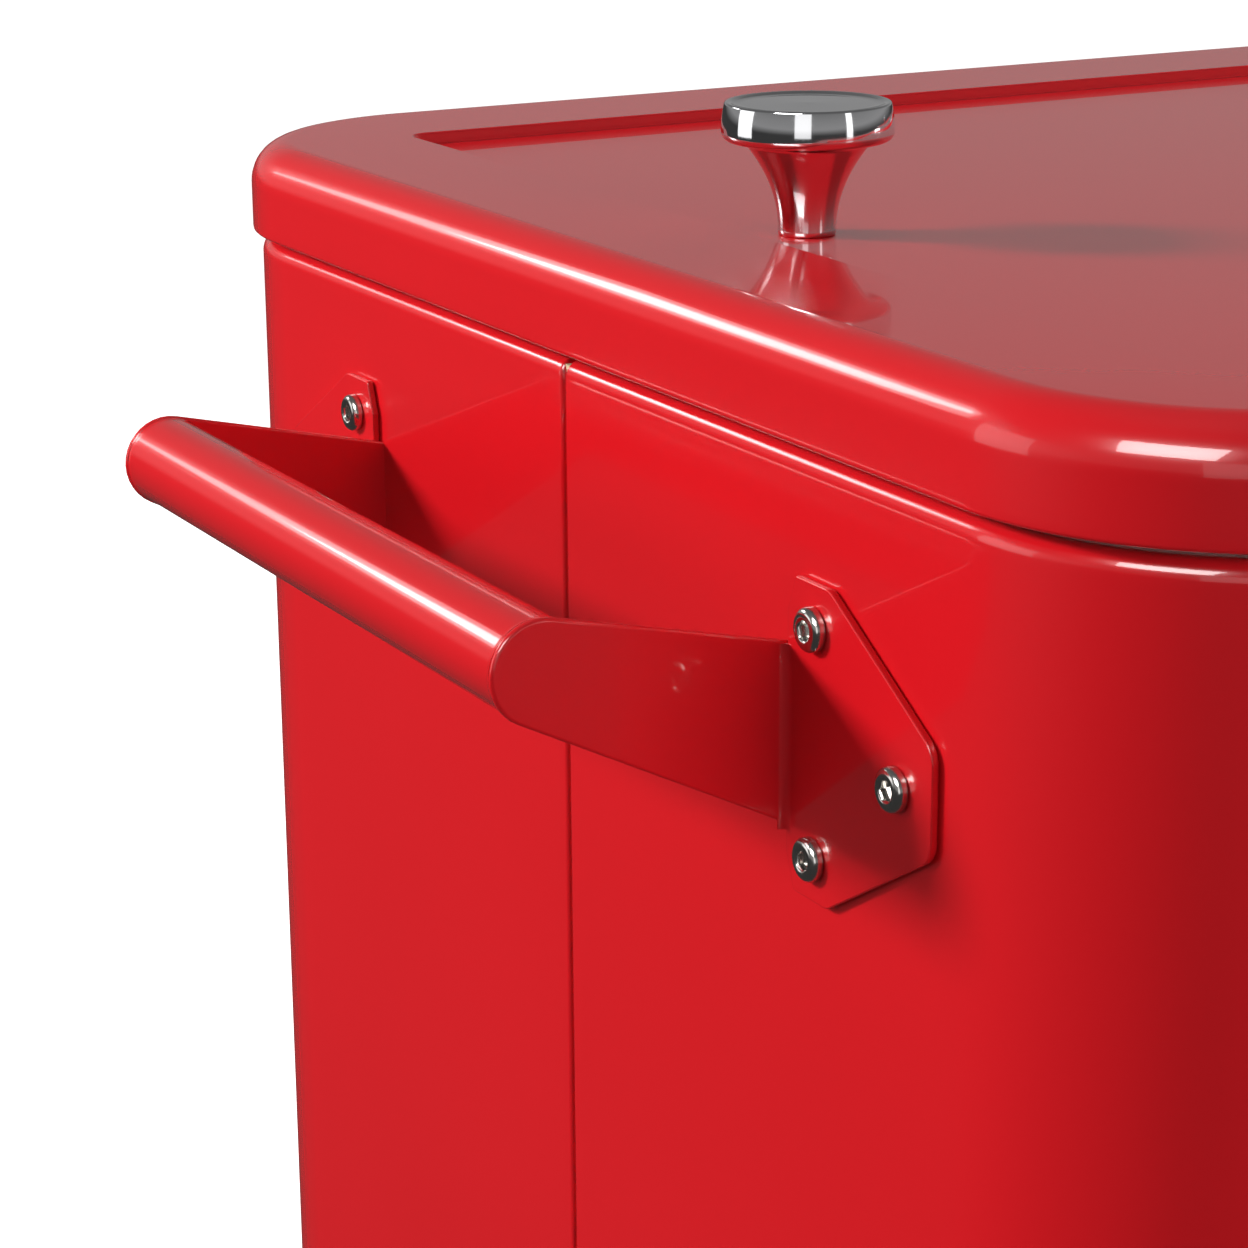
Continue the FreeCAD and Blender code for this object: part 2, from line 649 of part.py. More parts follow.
def knob(label):
    """Mushroom knob: a flat cap with a thin rim on a flared neck."""
    body = new_body(label)
    sketch = new_sketch(body, "XZ_Plane")
    cap_low = d.knob_height - d.knob_cap_height
    flare = [(d.knob_foot + (d.knob_neck - d.knob_foot) * share ** 2, cap_low * share)
             for share in (0.25, 0.5, 0.75)]
    outline(sketch, [(0, 0), (d.knob_foot, 0)] + flare
            + [(d.knob_neck, cap_low - d.knob_lip), (d.knob_neck + d.knob_lip, cap_low),
               (d.knob_cap - d.knob_lip, cap_low, d.knob_rim),
               (d.knob_cap, d.knob_height, d.knob_edge), (0, d.knob_height)])
    revolve(body, sketch, "V_Axis")
    drill(body, "XY_Plane", 0, [(0, 0)], d.screw_shank, d.screw_length, reverse=True)
    return body


def knobs():
    for label, side in (("left", 1), ("right", -1)):
        place(knob(f"{label}_knob"), x=side * knob_x, z=lid_top - d.recess_drop)
        group(f"{label}_knob_screw", [moved(screw_pattern, side * knob_x, 0,
                                            lid_top - d.recess_drop - d.sheet, tilt=-90)])


def bar_leaf(side, y):
    """Fixed hinge leaf on the bar: a plate and the two outer knuckles."""
    return hinge_leaf(side, y, -1, (-1, 1), d.leaf_bar)


def lid_leaf(side, y):
    """Moving hinge leaf on the lid: a plate and the middle knuckle."""
    return hinge_leaf(side, y, 1, (0,), d.leaf_lid)


def hinge_leaf(side, y, away, slots, width):
    """A hinge leaf on one side (away = 1 outwards) of the axis at side * hinge_x."""
    x = side * hinge_x.number
    z = hinge_z.number
    knuckle = d.knuckle.number
    third = d.hinge_length.number / 3
    play = d.slack.number / 2
    out = side * away
    reach = knuckle + 2 * d.slack.number
    plate = Part.makeBox(width.number, d.hinge_length.number, d.leaf.number)
    near_x = x + out * reach
    plate.translate(FreeCAD.Vector(min(near_x, near_x + out * width.number),
                                   y - d.hinge_length.number / 2, lid_top.number))
    leaf = plate
    for slot in slots:
        low = y + (slot - 0.5) * third + play
        length = third - 2 * play
        eye = Part.makeCylinder(knuckle, length, FreeCAD.Vector(x, low, z),
                                FreeCAD.Vector(0, 1, 0))
        web = Part.makeBox(reach, length, d.leaf.number)
        web.translate(FreeCAD.Vector(min(x, near_x), low, lid_top.number))
        leaf = leaf.fuse(eye).fuse(web)
    bore = Part.makeCylinder((d.pin + d.running).number, d.hinge_length.number,
                             FreeCAD.Vector(x, y - d.hinge_length.number / 2, z),
                             FreeCAD.Vector(0, 1, 0))
    return leaf.cut(bore).removeSplitter()


def hinges():
    spread = d.hinge_spread.number
    ys = (-spread, spread)
    group("hinge_bar_leaves", [bar_leaf(side, y) for side in (-1, 1) for y in ys])
    for label, side in (("left", -1), ("right", 1)):
        group(f"{label}_hinge_leaves", [lid_leaf(side, y) for y in ys])
        pins = []
        for y in ys:
            start = FreeCAD.Vector(side * hinge_x.number, y - d.hinge_length.number / 2,
                                   hinge_z.number)
            pins.append(Part.makeCylinder(d.pin.number, d.hinge_length.number, start,
                                          FreeCAD.Vector(0, 1, 0)))
        group(f"{label}_hinge_pins", pins)


# ---- handles ---------------------------------------------------------------------
# A bracket is a bent sheet: a plate on the chest's end and a tapered leg standing
# out from it. It is drawn on the left end; a half turn puts it on the right end.
def bracket(label, side):
    body = new_body(label)
    sheet_t = d.plate_sheet
    flat = new_sketch(body, "YZ_Plane", -end_face - sheet_t)
    bend, knee, tip = (side * v for v in (d.plate_bend, d.plate_flat, d.plate_outer))
    ear = side * (d.plate_bend + d.plate_ear)
    inner = side * (d.plate_bend - sheet_t)
    half, small = d.plate_half, d.plate_tip_half
    leg_top = d.plate_drop - d.leg_top_drop
    leg_low = d.plate_drop - d.leg_low_drop
    low_cut = plate_z + leg_low - d.bend_relief
    high_cut = plate_z + leg_top + d.bend_relief
    outline(flat, [(ear, plate_z + half, d.plate_ear_round),
                   (knee, plate_z + half, d.plate_knee_round),
                   (tip, plate_z + small, d.plate_round), (tip, plate_z - small, d.plate_round),
                   (knee, plate_z - half, d.plate_knee_round),
                   (ear, plate_z - half, d.plate_ear_round),
                   (bend, plate_z - half + d.plate_chamfer), (bend, low_cut),
                   (inner, low_cut), (inner, high_cut), (bend, high_cut),
                   (bend, plate_z + half - d.plate_chamfer)])
    pad(body, flat, sheet_t)
    leg = new_sketch(body, "XZ_Plane", -side * d.plate_bend if side > 0 else d.plate_bend)
    tapered_leg(leg)
    pad(body, leg, sheet_t, reverse=side < 0)
    drill(body, "YZ_Plane", -end_face - sheet_t,
          [(side * y, plate_z + rise) for y, rise in screw_spots],
          d.screw_shank + d.slack, sheet_t, reverse=True)
    return body


def tapered_leg(sketch):
    """The leg's outline: two straight edges that meet a round tip."""
    base = -end_face
    high = vec(base, lid_bottom - d.leg_top_drop)
    low = vec(base, lid_bottom - d.leg_low_drop)
    centre = vec(-end_face - d.bar_reach, lid_bottom - d.bar_drop)
    radius = d.leg_tip.number

    def touch(point, turn):
        """Where the tangent from the point meets the tip's circle."""
        span = point.sub(centre)
        angle = math.atan2(span.y, span.x) + turn * math.acos(radius / span.Length)
        return centre + FreeCAD.Vector(math.cos(angle), math.sin(angle), 0) * radius

    above, below = touch(high, 1), touch(low, -1)
    top = sketch.addGeometry(Part.LineSegment(high, above), False)
    tip = add_arc(sketch, centre, radius, above, below)
    foot = sketch.addGeometry(Part.LineSegment(below, low), False)
    root = sketch.addGeometry(Part.LineSegment(low, high), False)
    for rule in (("Tangent", top, 2, tip, 1), ("Tangent", tip, 2, foot, 1),
                 ("Coincident", foot, 2, root, 1), ("Coincident", root, 2, top, 1)):
        sketch.addConstraint(Sketcher.Constraint(*rule))
    fix_point(sketch, top, 1, -end_face, lid_bottom - d.leg_top_drop)
    fix_point(sketch, root, 1, -end_face, lid_bottom - d.leg_low_drop)
    fix_point(sketch, tip, 3, -end_face - d.bar_reach, lid_bottom - d.bar_drop)
    fix(sketch, "Radius", d.leg_tip, tip)


def handle_bar(label):
    """Round tube between the two legs."""
    body = new_body(label)
    half = d.plate_bend - d.plate_sheet
    sketch = new_sketch(body, "XZ_Plane", -half)
    circle(sketch, -end_face - d.bar_reach, lid_bottom - d.bar_drop, d.bar_radius)
    circle(sketch, -end_face - d.bar_reach, lid_bottom - d.bar_drop, d.bar_radius - d.bar_wall)
    pad(body, sketch, 2 * half)
    return body


def handles():
    for label, turn in (("left", 0), ("right", 180)):
        near_side, far_side = ("front", "back") if turn == 0 else ("back", "front")
        place(bracket(f"{label}_handle_bracket_{near_side}", -1), turn=turn)
        place(bracket(f"{label}_handle_bracket_{far_side}", 1), turn=turn)
        place(handle_bar(f"{label}_handle_bar"), turn=turn)


# ---- fasteners -------------------------------------------------------------------
def button_screw():
    """Button-head screw, pointing along +X with the underside of its head at X = 0."""
    body = new_body("button_screw_pattern")
    sketch = new_sketch(body, "XY_Plane")
    head, tall = d.screw_head, d.screw_head_height
    outline(sketch, [(-tall, 0), (-tall, head - 2), (-tall / 2, head - 0.4, 1.5), (0, head),
                     (0, d.screw_shank), (d.screw_length, d.screw_shank),
                     (d.screw_length, 0)])
    revolve(body, sketch, "H_Axis")
    socket = new_sketch(body, "YZ_Plane", -tall)
    hexagon(socket, size(0), size(0), d.hex_socket)
    pocket(body, socket, d.hex_depth, reverse=True)
    return body.Shape


def screws_and_nuts():
    screw = screw_pattern
    nut = Part.makeCylinder(d.nut_radius.number, d.nut_length.number, vec(0, 0, 0), vec(1, 0, 0))
    bulge = Part.makeCylinder(d.nut_flange.number, 3, vec(d.sheet, 0, 0), vec(1, 0, 0))
    bore = Part.makeCylinder((d.screw_shank + d.running).number, d.nut_length.number,
                             vec(0, 0, 0), vec(1, 0, 0))
    nut = nut.fuse(bulge).cut(bore)
    screws, nuts = [], []
    for sign, turn in ((-1, 0), (1, 180)):
        for y, z in end_nut_spots:
            screws.append(moved(screw, sign * (end_face + d.plate_sheet), y, z, turn))
            nuts.append(moved(nut, sign * end_face, y, z, turn))
    heads = [d.opener_sheet] * 2 + [d.sheet + d.slack] * 2
    for (x, z), stand in zip(front_nut_spots, heads):
        screws.append(moved(screw, x, -front_face - stand, z, 90))
        nuts.append(moved(nut, x, -front_face, z, 90))
    under = d.body_top - d.sheet
    for sign in (-1, 1):
        screws.append(moved(screw, 0, sign * bar_screw_y, under, tilt=-90))
    group("button_screws", screws)
    group("rivet_nuts", nuts)


def frame_bolts():
    """Hex bolts that hold the legs to the pan and the shelf to the legs."""
    body = new_body("hex_bolt_pattern")
    head = new_sketch(body, "XY_Plane", -d.bolt_head)
    hexagon(head, size(0), size(0), d.bolt_across)
    pad(body, head, d.bolt_head)
    shank = new_sketch(body, "XY_Plane", 0)
    circle(shank, 0, 0, d.bolt_shank)
    pad(body, shank, d.bolt_length)
    plate_low = d.body_bottom - d.leg_plate_sheet
    bolts = [moved(body.Shape, x, y, plate_low) for x, y in leg_bolt_spots()]
    inner = d.leg_x - d.leg_tube / 2 - d.slack - d.shelf_sheet
    for sx, sy in leg_spots.values():
        bolts.append(moved(body.Shape, sx * inner, sy * d.leg_y, shelf_bolt_z(),
                           0 if sx > 0 else 180, 90))
    group("frame_bolts", bolts)


def shelf_bolt_z():
    return d.shelf_top - d.shelf_apron / 2 - 1


# ---- drain -----------------------------------------------------------------------
# Drain parts are drawn about the X axis and placed at the right end of the chest.
def drain_piece(label, rings, across=None):
    """Stacked tubes along +X: rings of (x0, x1, outer radius, bore radius)."""
    body = new_body(label)
    for x0, x1, outer, bore in rings:
        sketch = new_sketch(body, "YZ_Plane", x0)
        if across is None:
            circle(sketch, 0, 0, outer)
        else:
            hexagon(sketch, size(0), size(0), across)
        if size(bore).number > 0:
            circle(sketch, 0, 0, bore)
        pad(body, sketch, x1 - x0)
    return place(body, y=drain_y, z=d.drain_height)


def drain():
    tip = end_face + d.drain_reach
    flange = well_half - d.drain_flange_height
    drain_piece("drain_spout", [(flange, well_half, d.drain_flange, d.drain_bore),
                                (well_half, tip, d.drain_tube, d.drain_bore)])
    nut_end = end_face + d.drain_nut_height
    drain_piece("drain_nut", [(end_face, nut_end, 0, d.drain_tube + d.running)],
                d.drain_nut_across)
    drain_piece("drain_cap_seal", [(tip, tip + d.seal_height, d.drain_tube, d.drain_bore)])
    inner = tip + d.seal_height
    start = inner + d.cap_wall - d.cap_length
    drain_piece("drain_cap", [(start, inner, d.cap_radius, d.drain_tube + d.slack / 2),
                              (inner, inner + d.cap_wall, d.cap_radius, 0)])


# ---- opener and cap catcher ------------------------------------------------------
def bottle_opener():
    """Wall opener: a plate, and a hooded ring with a lip across its mouth."""
    body = new_body("bottle_opener")
    face = -front_face
    half = d.opener_width / 2
    tall = d.opener_height / 2
    plate = new_sketch(body, "XZ_Plane", front_face)
    rectangle(plate, -half, half, opener_z - tall, opener_z + tall, d.opener_round)
    pad(body, plate, d.opener_sheet)
    hood = new_sketch(body, "XZ_Plane", front_face)
    low = opener_z - d.hood_inner / 2
    high = opener_z + d.hood_outer / 2
    inner_round = d.hood_round - d.lip
    outline(hood, [(-d.hood_outer, low), (-d.hood_outer, high, d.hood_round),
                   (d.hood_outer, high, d.hood_round), (d.hood_outer, low),
                   (d.hood_inner, low), (d.hood_inner, high - d.lip, inner_round),
                   (-d.hood_inner, high - d.lip, inner_round), (-d.hood_inner, low)])
    pad(body, hood, d.hood_reach)
    lip = new_sketch(body, "XZ_Plane", front_face + d.hood_reach - d.lip_depth)
    rectangle(lip, -d.hood_inner, d.hood_inner, opener_z, opener_z + d.lip)
    pad(body, lip, d.lip_depth)
    drill(body, "XZ_Plane", front_face, [(0, opener_z + rise) for rise in opener_screws],
          d.screw_shank + d.slack, d.opener_sheet, reverse=True)
    return place(body)


def cap_catcher():
    """Open box that hangs by two keyholes on shouldered screws and lifts off."""
    body = new_body("cap_catcher")
    half = d.catcher_width / 2
    back = -front_face - d.slack
    front = -front_face - d.catcher_reach
    top = catcher_z + d.catcher_rise
    bottom = top - d.catcher_height
    slab(body, -half, half, front, back, bottom, d.catcher_height, d.catcher_corner)
    hollow(body, -half + d.sheet, half - d.sheet, front + d.sheet, back - d.sheet,
           bottom + d.sheet, d.catcher_height, d.catcher_corner - d.sheet)
    keyholes = new_sketch(body, "XZ_Plane", front_face)
    slot = d.screw_shank + d.slack
    eye = d.screw_head + d.slack
    for sign in (-1, 1):
        x = sign * d.catcher_spread
        drop = catcher_z - d.catcher_lift - d.catcher_eye * eye
        outline(keyholes, [(x - slot, catcher_z - d.catcher_lift),
                           (x - eye, catcher_z - d.catcher_lift), (x - eye, drop),
                           (x + eye, drop), (x + eye, catcher_z - d.catcher_lift),
                           (x + slot, catcher_z - d.catcher_lift), (x + slot, catcher_z + slot),
                           (x - slot, catcher_z + slot)])
    pocket(body, keyholes, d.sheet + 2 * d.slack, reverse=True)
    return place(body)


# ---- underframe ------------------------------------------------------------------
def leg(label, sx, sy):
    """Square tube with a bolting plate welded on its top."""
    body = new_body(label)
    tube = d.leg_tube / 2
    bore = tube - d.leg_wall
    plate = d.leg_plate / 2
    plate_low = d.body_bottom - d.leg_plate_sheet
    slab(body, -tube, tube, -tube, tube, d.leg_bottom, plate_low - d.leg_bottom, d.leg_corner)
    slab(body, -plate, plate, -plate, plate, plate_low, d.leg_plate_sheet,
         d.leg_plate_round)
    hollow(body, -bore, bore, -bore, bore, d.leg_bottom, plate_low - d.leg_bottom,
           d.leg_corner - d.leg_wall)
    spread = d.leg_bolt_spread
    drill(body, "XY_Plane", plate_low, [(ax * spread, ay * spread) for ax in (-1, 1)
                                        for ay in (-1, 1)],
          d.bolt_shank + d.running, d.leg_plate_sheet, reverse=True)
    drill(body, "YZ_Plane", 0, [(0, shelf_bolt_z())], d.bolt_shank + d.running, tube,
          reverse=sx < 0)
    return place(body, x=sx * d.leg_x, y=sy * d.leg_y)


def leg_end_plugs():
    """Plastic plugs in the feet of the legs, bored for the caster stems."""
    plugs = []
    for sx, sy in leg_spots.values():
        x, y = (sx * d.leg_x).number, (sy * d.leg_y).number
        wide = d.leg_tube.number
        snug = wide - 2 * d.leg_wall.number - 2 * d.slack.number
        cap = Part.makeBox(wide, wide, d.plug_cap.number)
        cap.translate(FreeCAD.Vector(x - wide / 2, y - wide / 2,
                                     (d.leg_bottom - d.plug_cap).number))
        stub = Part.makeBox(snug, snug, d.plug_height.number)
        upright = [e for e in stub.Edges if near(e.tangentAt(e.FirstParameter).z ** 2, 1)]
        stub = stub.makeFillet((d.leg_corner - d.leg_wall).number, upright)
        stub.translate(FreeCAD.Vector(x - snug / 2, y - snug / 2, d.leg_bottom.number))
        hole = Part.makeCylinder((d.stem + d.running).number, 2 * d.leg_bottom.number,
                                FreeCAD.Vector(x, y, 0))
        plugs.append(cap.fuse(stub).cut(hole).removeSplitter())
    group("leg_end_plugs", plugs)


def shelf():
    """Slotted sheet shelf with turned-down edges, between the four legs."""
    body = new_body("shelf")
    half = d.leg_x - d.leg_tube / 2 - d.slack
    side = d.leg_y + d.leg_tube / 2
    bottom = d.shelf_top - d.shelf_apron
    slab(body, -half, half, -side, side, bottom, d.shelf_apron, d.leg_corner)
    inner = d.shelf_sheet
    hollow(body, -half + inner, half - inner, -side + inner, side - inner, bottom,
           d.shelf_apron - d.shelf_sheet, d.leg_corner - d.shelf_sheet)
    reach = d.slot_length / 2
    first = -(d.slot_rows - 1) / 2 * d.slot_pitch
    for sign in (-1, 1):
        slot = new_sketch(body, "XY_Plane", bottom)
        x = sign * (reach + d.slot_from_middle)
        rectangle(slot, x - reach, x + reach, first - d.slot_width / 2,
                  first + d.slot_width / 2, d.slot_width / 2 - 0.5)
        cut = pocket(body, slot, d.shelf_apron, reverse=True)
        repeat_along_y(body, cut, d.slot_rows, d.slot_pitch)
    for sign in (-1, 1):
        drill(body, "YZ_Plane", 0, [(sign * d.leg_y, shelf_bolt_z())],
              d.bolt_shank + d.running, 2 * half)
        drill(body, "YZ_Plane", 0, [(sign * d.leg_y, shelf_bolt_z())],
              d.bolt_shank + d.running, 2 * half, reverse=True)
    return place(body)


# ---- casters ---------------------------------------------------------------------
def caster_stems():
    """Threaded stem, hex collar and kingpin that each caster turns on."""
    body = new_body("caster_stem_pattern")
    race_top = d.fork_top + d.race_height
    collar = race_top + d.stem_play
    head_top = d.fork_top - d.fork_sheet - d.stem_play
    parts = [(collar, d.leg_bottom - d.plug_cap, None),
             (d.leg_bottom - d.plug_cap, d.stem_top, d.stem),
             (head_top, collar, d.kingpin),
             (d.fork_top - d.fork_sheet - d.kingpin_head, head_top, d.kingpin + d.kingpin_lip)]
    for z0, z1, radius in parts:
        sketch = new_sketch(body, "XY_Plane", z0)
        if radius is None:
            hexagon(sketch, size(0), size(0), d.stem_hex)
        else:
            circle(sketch, 0, 0, radius)
        pad(body, sketch, z1 - z0)
    group("caster_stems", [moved(body.Shape, sx * d.leg_x, sy * d.leg_y, 0)
                           for sx, sy in leg_spots.values()])


def caster(name, sx, sy):
    x, y = sx * d.leg_x, sy * d.leg_y
    if sy < 0:
        place(brake_lever(f"{name}_brake_lever"), x=x, y=y)
    place(caster_fork(f"{name}_caster_fork"), x=x, y=y)
    place(caster_axle(f"{name}_caster_axle"), x=x, y=y)
    place(caster_wheel(f"{name}_caster_wheel"), x=x, y=y)


def caster_fork(label):
    """Race cup, top plate and two raked cheeks, trailing towards -X."""
    body = new_body(label)
    plate = d.fork_plate
    thick = d.fork_sheet
    half = d.fork_gap + thick
    plate_low = d.fork_top - thick
    slab(body, -plate, plate, -half, half, plate_low, thick)
    cup = new_sketch(body, "XY_Plane", d.fork_top)
    circle(cup, 0, 0, d.race_radius)
    pad(body, cup, d.race_height)
    axle_z = d.wheel_radius
    for sign in (-1, 1):
        cheek = new_sketch(body, "XZ_Plane", d.fork_gap if sign > 0 else -half)
        outline(cheek, [(-plate, plate_low + thick / 2), (plate, plate_low + thick / 2),
                        (plate, plate_low - d.cheek_front),
                        (-d.trail + d.cheek_tip, axle_z - d.cheek_tip, d.cheek_round),
                        (-d.trail - d.cheek_tip, axle_z - d.cheek_tip, d.cheek_round),
                        (-d.trail - d.cheek_tip, axle_z + d.cheek_back)])
        pad(body, cheek, thick)
    drill(body, "XZ_Plane", -half, [(-d.trail, axle_z)], d.axle + d.running, 2 * half,
          reverse=True)
    drill(body, "XZ_Plane", -half, [(-d.brake_back, d.brake_height)],
          d.brake_pin + d.running, 2 * half, reverse=True)
    drill(body, "XY_Plane", 0, [(0, 0)], d.kingpin + d.running, 2 * d.fork_top, reverse=True)
    return body


def brake_lever(label):
    """Foot lever over the wheel, with trunnions in the fork's cheeks."""
    body = new_body(label)
    half = d.fork_gap - d.brake_play
    blade = new_sketch(body, "XZ_Plane", -half)
    low = d.brake_height - d.brake_thick / 2
    high = d.brake_height + d.brake_thick / 2
    knee = -d.brake_back - d.brake_knee
    nose = -d.brake_back + d.brake_nose
    outline(blade, [(nose, low), (nose, high), (knee, high),
                    (-d.brake_reach, high + d.brake_rise), (-d.brake_reach, low + d.brake_rise),
                    (knee, low)])
    pad(body, blade, 2 * half)
    ends = d.fork_gap + d.fork_sheet
    trunnion = new_sketch(body, "XZ_Plane", -ends)
    circle(trunnion, -d.brake_back, d.brake_height, d.brake_pin)
    pad(body, trunnion, 2 * ends)
    return body


def caster_axle(label):
    """Axle with a head on each side of the fork."""
    body = new_body(label)
    half = d.fork_gap + d.fork_sheet + d.slack / 2
    head = d.axle_head
    for offset, radius, length in ((-half, d.axle, 2 * half),
                                   (-half - head, d.axle + head, head),
                                   (half, d.axle + head, head)):
        sketch = new_sketch(body, "XZ_Plane", offset)
        circle(sketch, -d.trail, d.wheel_radius, radius)
        pad(body, sketch, length)
    return body


def caster_wheel(label):
    """Solid wheel with rounded tread edges and a bore for the axle."""
    body = new_body(label)
    half = d.wheel_width / 2
    sketch = new_sketch(body, "XZ_Plane", -half)
    circle(sketch, -d.trail, d.wheel_radius, d.wheel_radius)
    pad(body, sketch, d.wheel_width)
    round_edges(body, d.tread_round, lambda e, m: True)
    for offset, reverse in ((half, True), (-half, False)):
        dish = new_sketch(body, "XZ_Plane", offset)
        circle(dish, -d.trail, d.wheel_radius, d.wheel_radius - d.wheel_rim)
        circle(dish, -d.trail, d.wheel_radius, d.axle + d.wheel_hub)
        pocket(body, dish, d.wheel_dish, reverse=not reverse)
    drill(body, "XZ_Plane", -half, [(-d.trail, d.wheel_radius)], d.axle + d.running,
          d.wheel_width, reverse=True)
    return body


# ---- build and write -------------------------------------------------------------
screw_pattern = button_screw()
shell("shell_front", -1)
shell("shell_back", 1)
bottom_pan()
insulation()
liner()
centre_bar()
lid_pair("lid_shell", lid_shell)
lid_pair("lid_inner", lid_inner)
lid_pair("lid_foam", lid_foam)
lid_pair("lid_gasket", lid_gasket)
knobs()
hinges()
handles()
screws_and_nuts()
drain()
bottle_opener()
cap_catcher()
for leg_name, (leg_sx, leg_sy) in leg_spots.items():
    leg(f"{leg_name}_leg", leg_sx, leg_sy)
leg_end_plugs()
shelf()
frame_bolts()
caster_stems()
for leg_name, (leg_sx, leg_sy) in leg_spots.items():
    caster(leg_name, leg_sx, leg_sy)
doc.recompute()

for obj in doc.Objects:
    if "Invalid" in obj.State or "Error" in obj.State:
        raise RuntimeError(f"{obj.Label} failed: {obj.State}")
os.makedirs("parts", exist_ok=True)
for node in nodes:
    if node.Shape.isNull() or not node.Shape.isValid() or not node.Shape.Solids:
        raise RuntimeError(f"{node.Label} has no valid solid")
for node in nodes:
    node.Shape.exportStep(f"parts/{node.Label}.step")
print(len(nodes), "sub-parts")
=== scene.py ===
import json
import math
import random

import bmesh
import bpy
from mathutils import Matrix, Vector

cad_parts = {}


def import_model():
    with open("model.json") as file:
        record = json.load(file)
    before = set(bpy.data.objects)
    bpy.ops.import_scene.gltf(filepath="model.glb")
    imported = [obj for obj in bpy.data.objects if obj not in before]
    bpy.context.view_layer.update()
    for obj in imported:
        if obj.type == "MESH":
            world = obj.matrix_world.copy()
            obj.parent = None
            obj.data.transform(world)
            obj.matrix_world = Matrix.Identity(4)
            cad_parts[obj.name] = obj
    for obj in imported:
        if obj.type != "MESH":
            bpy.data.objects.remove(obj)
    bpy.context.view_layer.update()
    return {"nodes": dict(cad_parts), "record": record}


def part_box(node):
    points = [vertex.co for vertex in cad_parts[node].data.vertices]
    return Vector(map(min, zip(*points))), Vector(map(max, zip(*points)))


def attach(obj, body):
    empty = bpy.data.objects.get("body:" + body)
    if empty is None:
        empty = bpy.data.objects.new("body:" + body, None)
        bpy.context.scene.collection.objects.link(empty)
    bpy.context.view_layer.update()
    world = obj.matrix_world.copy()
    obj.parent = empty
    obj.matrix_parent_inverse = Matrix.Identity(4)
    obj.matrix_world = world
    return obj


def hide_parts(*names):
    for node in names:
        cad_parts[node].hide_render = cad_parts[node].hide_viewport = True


# The looks of a rolling patio cooler. Every size is in metres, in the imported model's frame:
# X along the chest, -Y to the front, +Z up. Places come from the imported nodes' boxes.

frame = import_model()
nodes = frame["nodes"]
random.seed(7)

MM = 0.001
SHEET = 1.2 * MM            # painted sheet of the chest and the lids
BRACKET_SHEET = 2 * MM
LID_CORNER = 64 * MM        # the lid's corners, seen from above
LID_OVERHANG = 2.5 * MM     # of the lid's corners over the chest's
LID_EDGE = 11 * MM          # the round between the lid's side and top
RECESS_CORNER = 6 * MM
RECESS_DROP = 3 * MM
SHOULDER = 4 * MM           # the round at the top of the chest's walls
LEAST_RADIUS = 0.3 * MM     # of a corner whose outline has moved inwards
AXIS_GAP = 0.4 * MM         # radius at which a solid of revolution ends, near its axis
CORNER_STEPS = 20
ROUND_STEPS = 8
EDGE_STEPS = 4
NODE_SHARP = 32             # degrees: a CAD node's edges beyond this stay sharp
PIECE_SHARP = 50            # degrees: the same for the round pieces made here
FACE_WEIGHT = 80            # how far large faces rule the shading beside them


def box(node):
    """The node's corners as (x0, x1, y0, y1, z0, z1)."""
    low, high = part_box(node)
    return low.x, high.x, low.y, high.y, low.z, high.z


# ---- materials --------------------------------------------------------------------
def new_material(name, **inputs):
    """A node material, and helpers that add nodes and link one to its Principled shader.
    The inputs are the shader's; in a keyword, _ stands for each space of an input's name."""
    material = bpy.data.materials.new(name)
    material.use_nodes = True
    tree = material.node_tree
    shader = tree.nodes["Principled BSDF"]
    for key, value in inputs.items():
        shader.inputs[key.replace("_", " ")].default_value = value

    def add(kind, inputs=None, **settings):
        node = tree.nodes.new(kind)
        for key, value in settings.items():
            setattr(node, key, value)
        for key, value in (inputs or {}).items():
            if isinstance(value, bpy.types.NodeSocket):
                tree.links.new(value, node.inputs[key])
            else:
                node.inputs[key].default_value = value
        return node

    def link(output, socket):
        tree.links.new(output, shader.inputs[socket])

    return material, add, link


def object_noise(add, scale, detail, stretch=(1, 1, 1)):
    """Noise in the object's own coordinates, so that it moves with the piece."""
    place = add("ShaderNodeTexCoord")
    mapping = add("ShaderNodeMapping", {"Vector": place.outputs["Object"], "Scale": stretch})
    return add("ShaderNodeTexNoise", {"Vector": mapping.outputs["Vector"], "Scale": scale,
                                      "Detail": detail})


def value_range(add, source, low, high, start=0.3, stop=0.7):
    """Low to high as the source goes from start to stop."""
    ranged = add("ShaderNodeMapRange", {"Value": source, "From Min": start, "From Max": stop,
                                        "To Min": low, "To Max": high})
    return ranged.outputs["Result"]


def two_tones(add, link, noise, first, second):
    """Base colour between two colours, as a noise has it."""
    mix = add("ShaderNodeMix", {"Factor": noise.outputs["Fac"]}, data_type="RGBA")
    mix.inputs["A"].default_value = (*first, 1)
    mix.inputs["B"].default_value = (*second, 1)
    link(mix.outputs["Result"], "Base Color")


def scaled(colour, factor, lift=0.0):
    return [min(1, part * factor + lift) for part in colour]


def bump(add, link, height, depth):
    link(add("ShaderNodeBump", {"Height": height, "Distance": depth}).outputs["Normal"],
         "Normal")


def red_paint():
    """Gloss enamel: deep red, with faint orange peel, under a clear coat."""
    material, add, link = new_material("red_paint", IOR=1.5, Roughness=0.24,
                                       Specular_IOR_Level=0.3, Coat_Weight=0.7,
                                       Coat_Roughness=0.03)
    tone = object_noise(add, scale=6.0, detail=3.0)
    two_tones(add, link, tone, (0.67, 0.0070, 0.0120), (0.73, 0.0090, 0.0155))
    peel = object_noise(add, scale=420.0, detail=2.0)
    bump(add, link, peel.outputs["Fac"], depth=0.004 * MM)
    return material


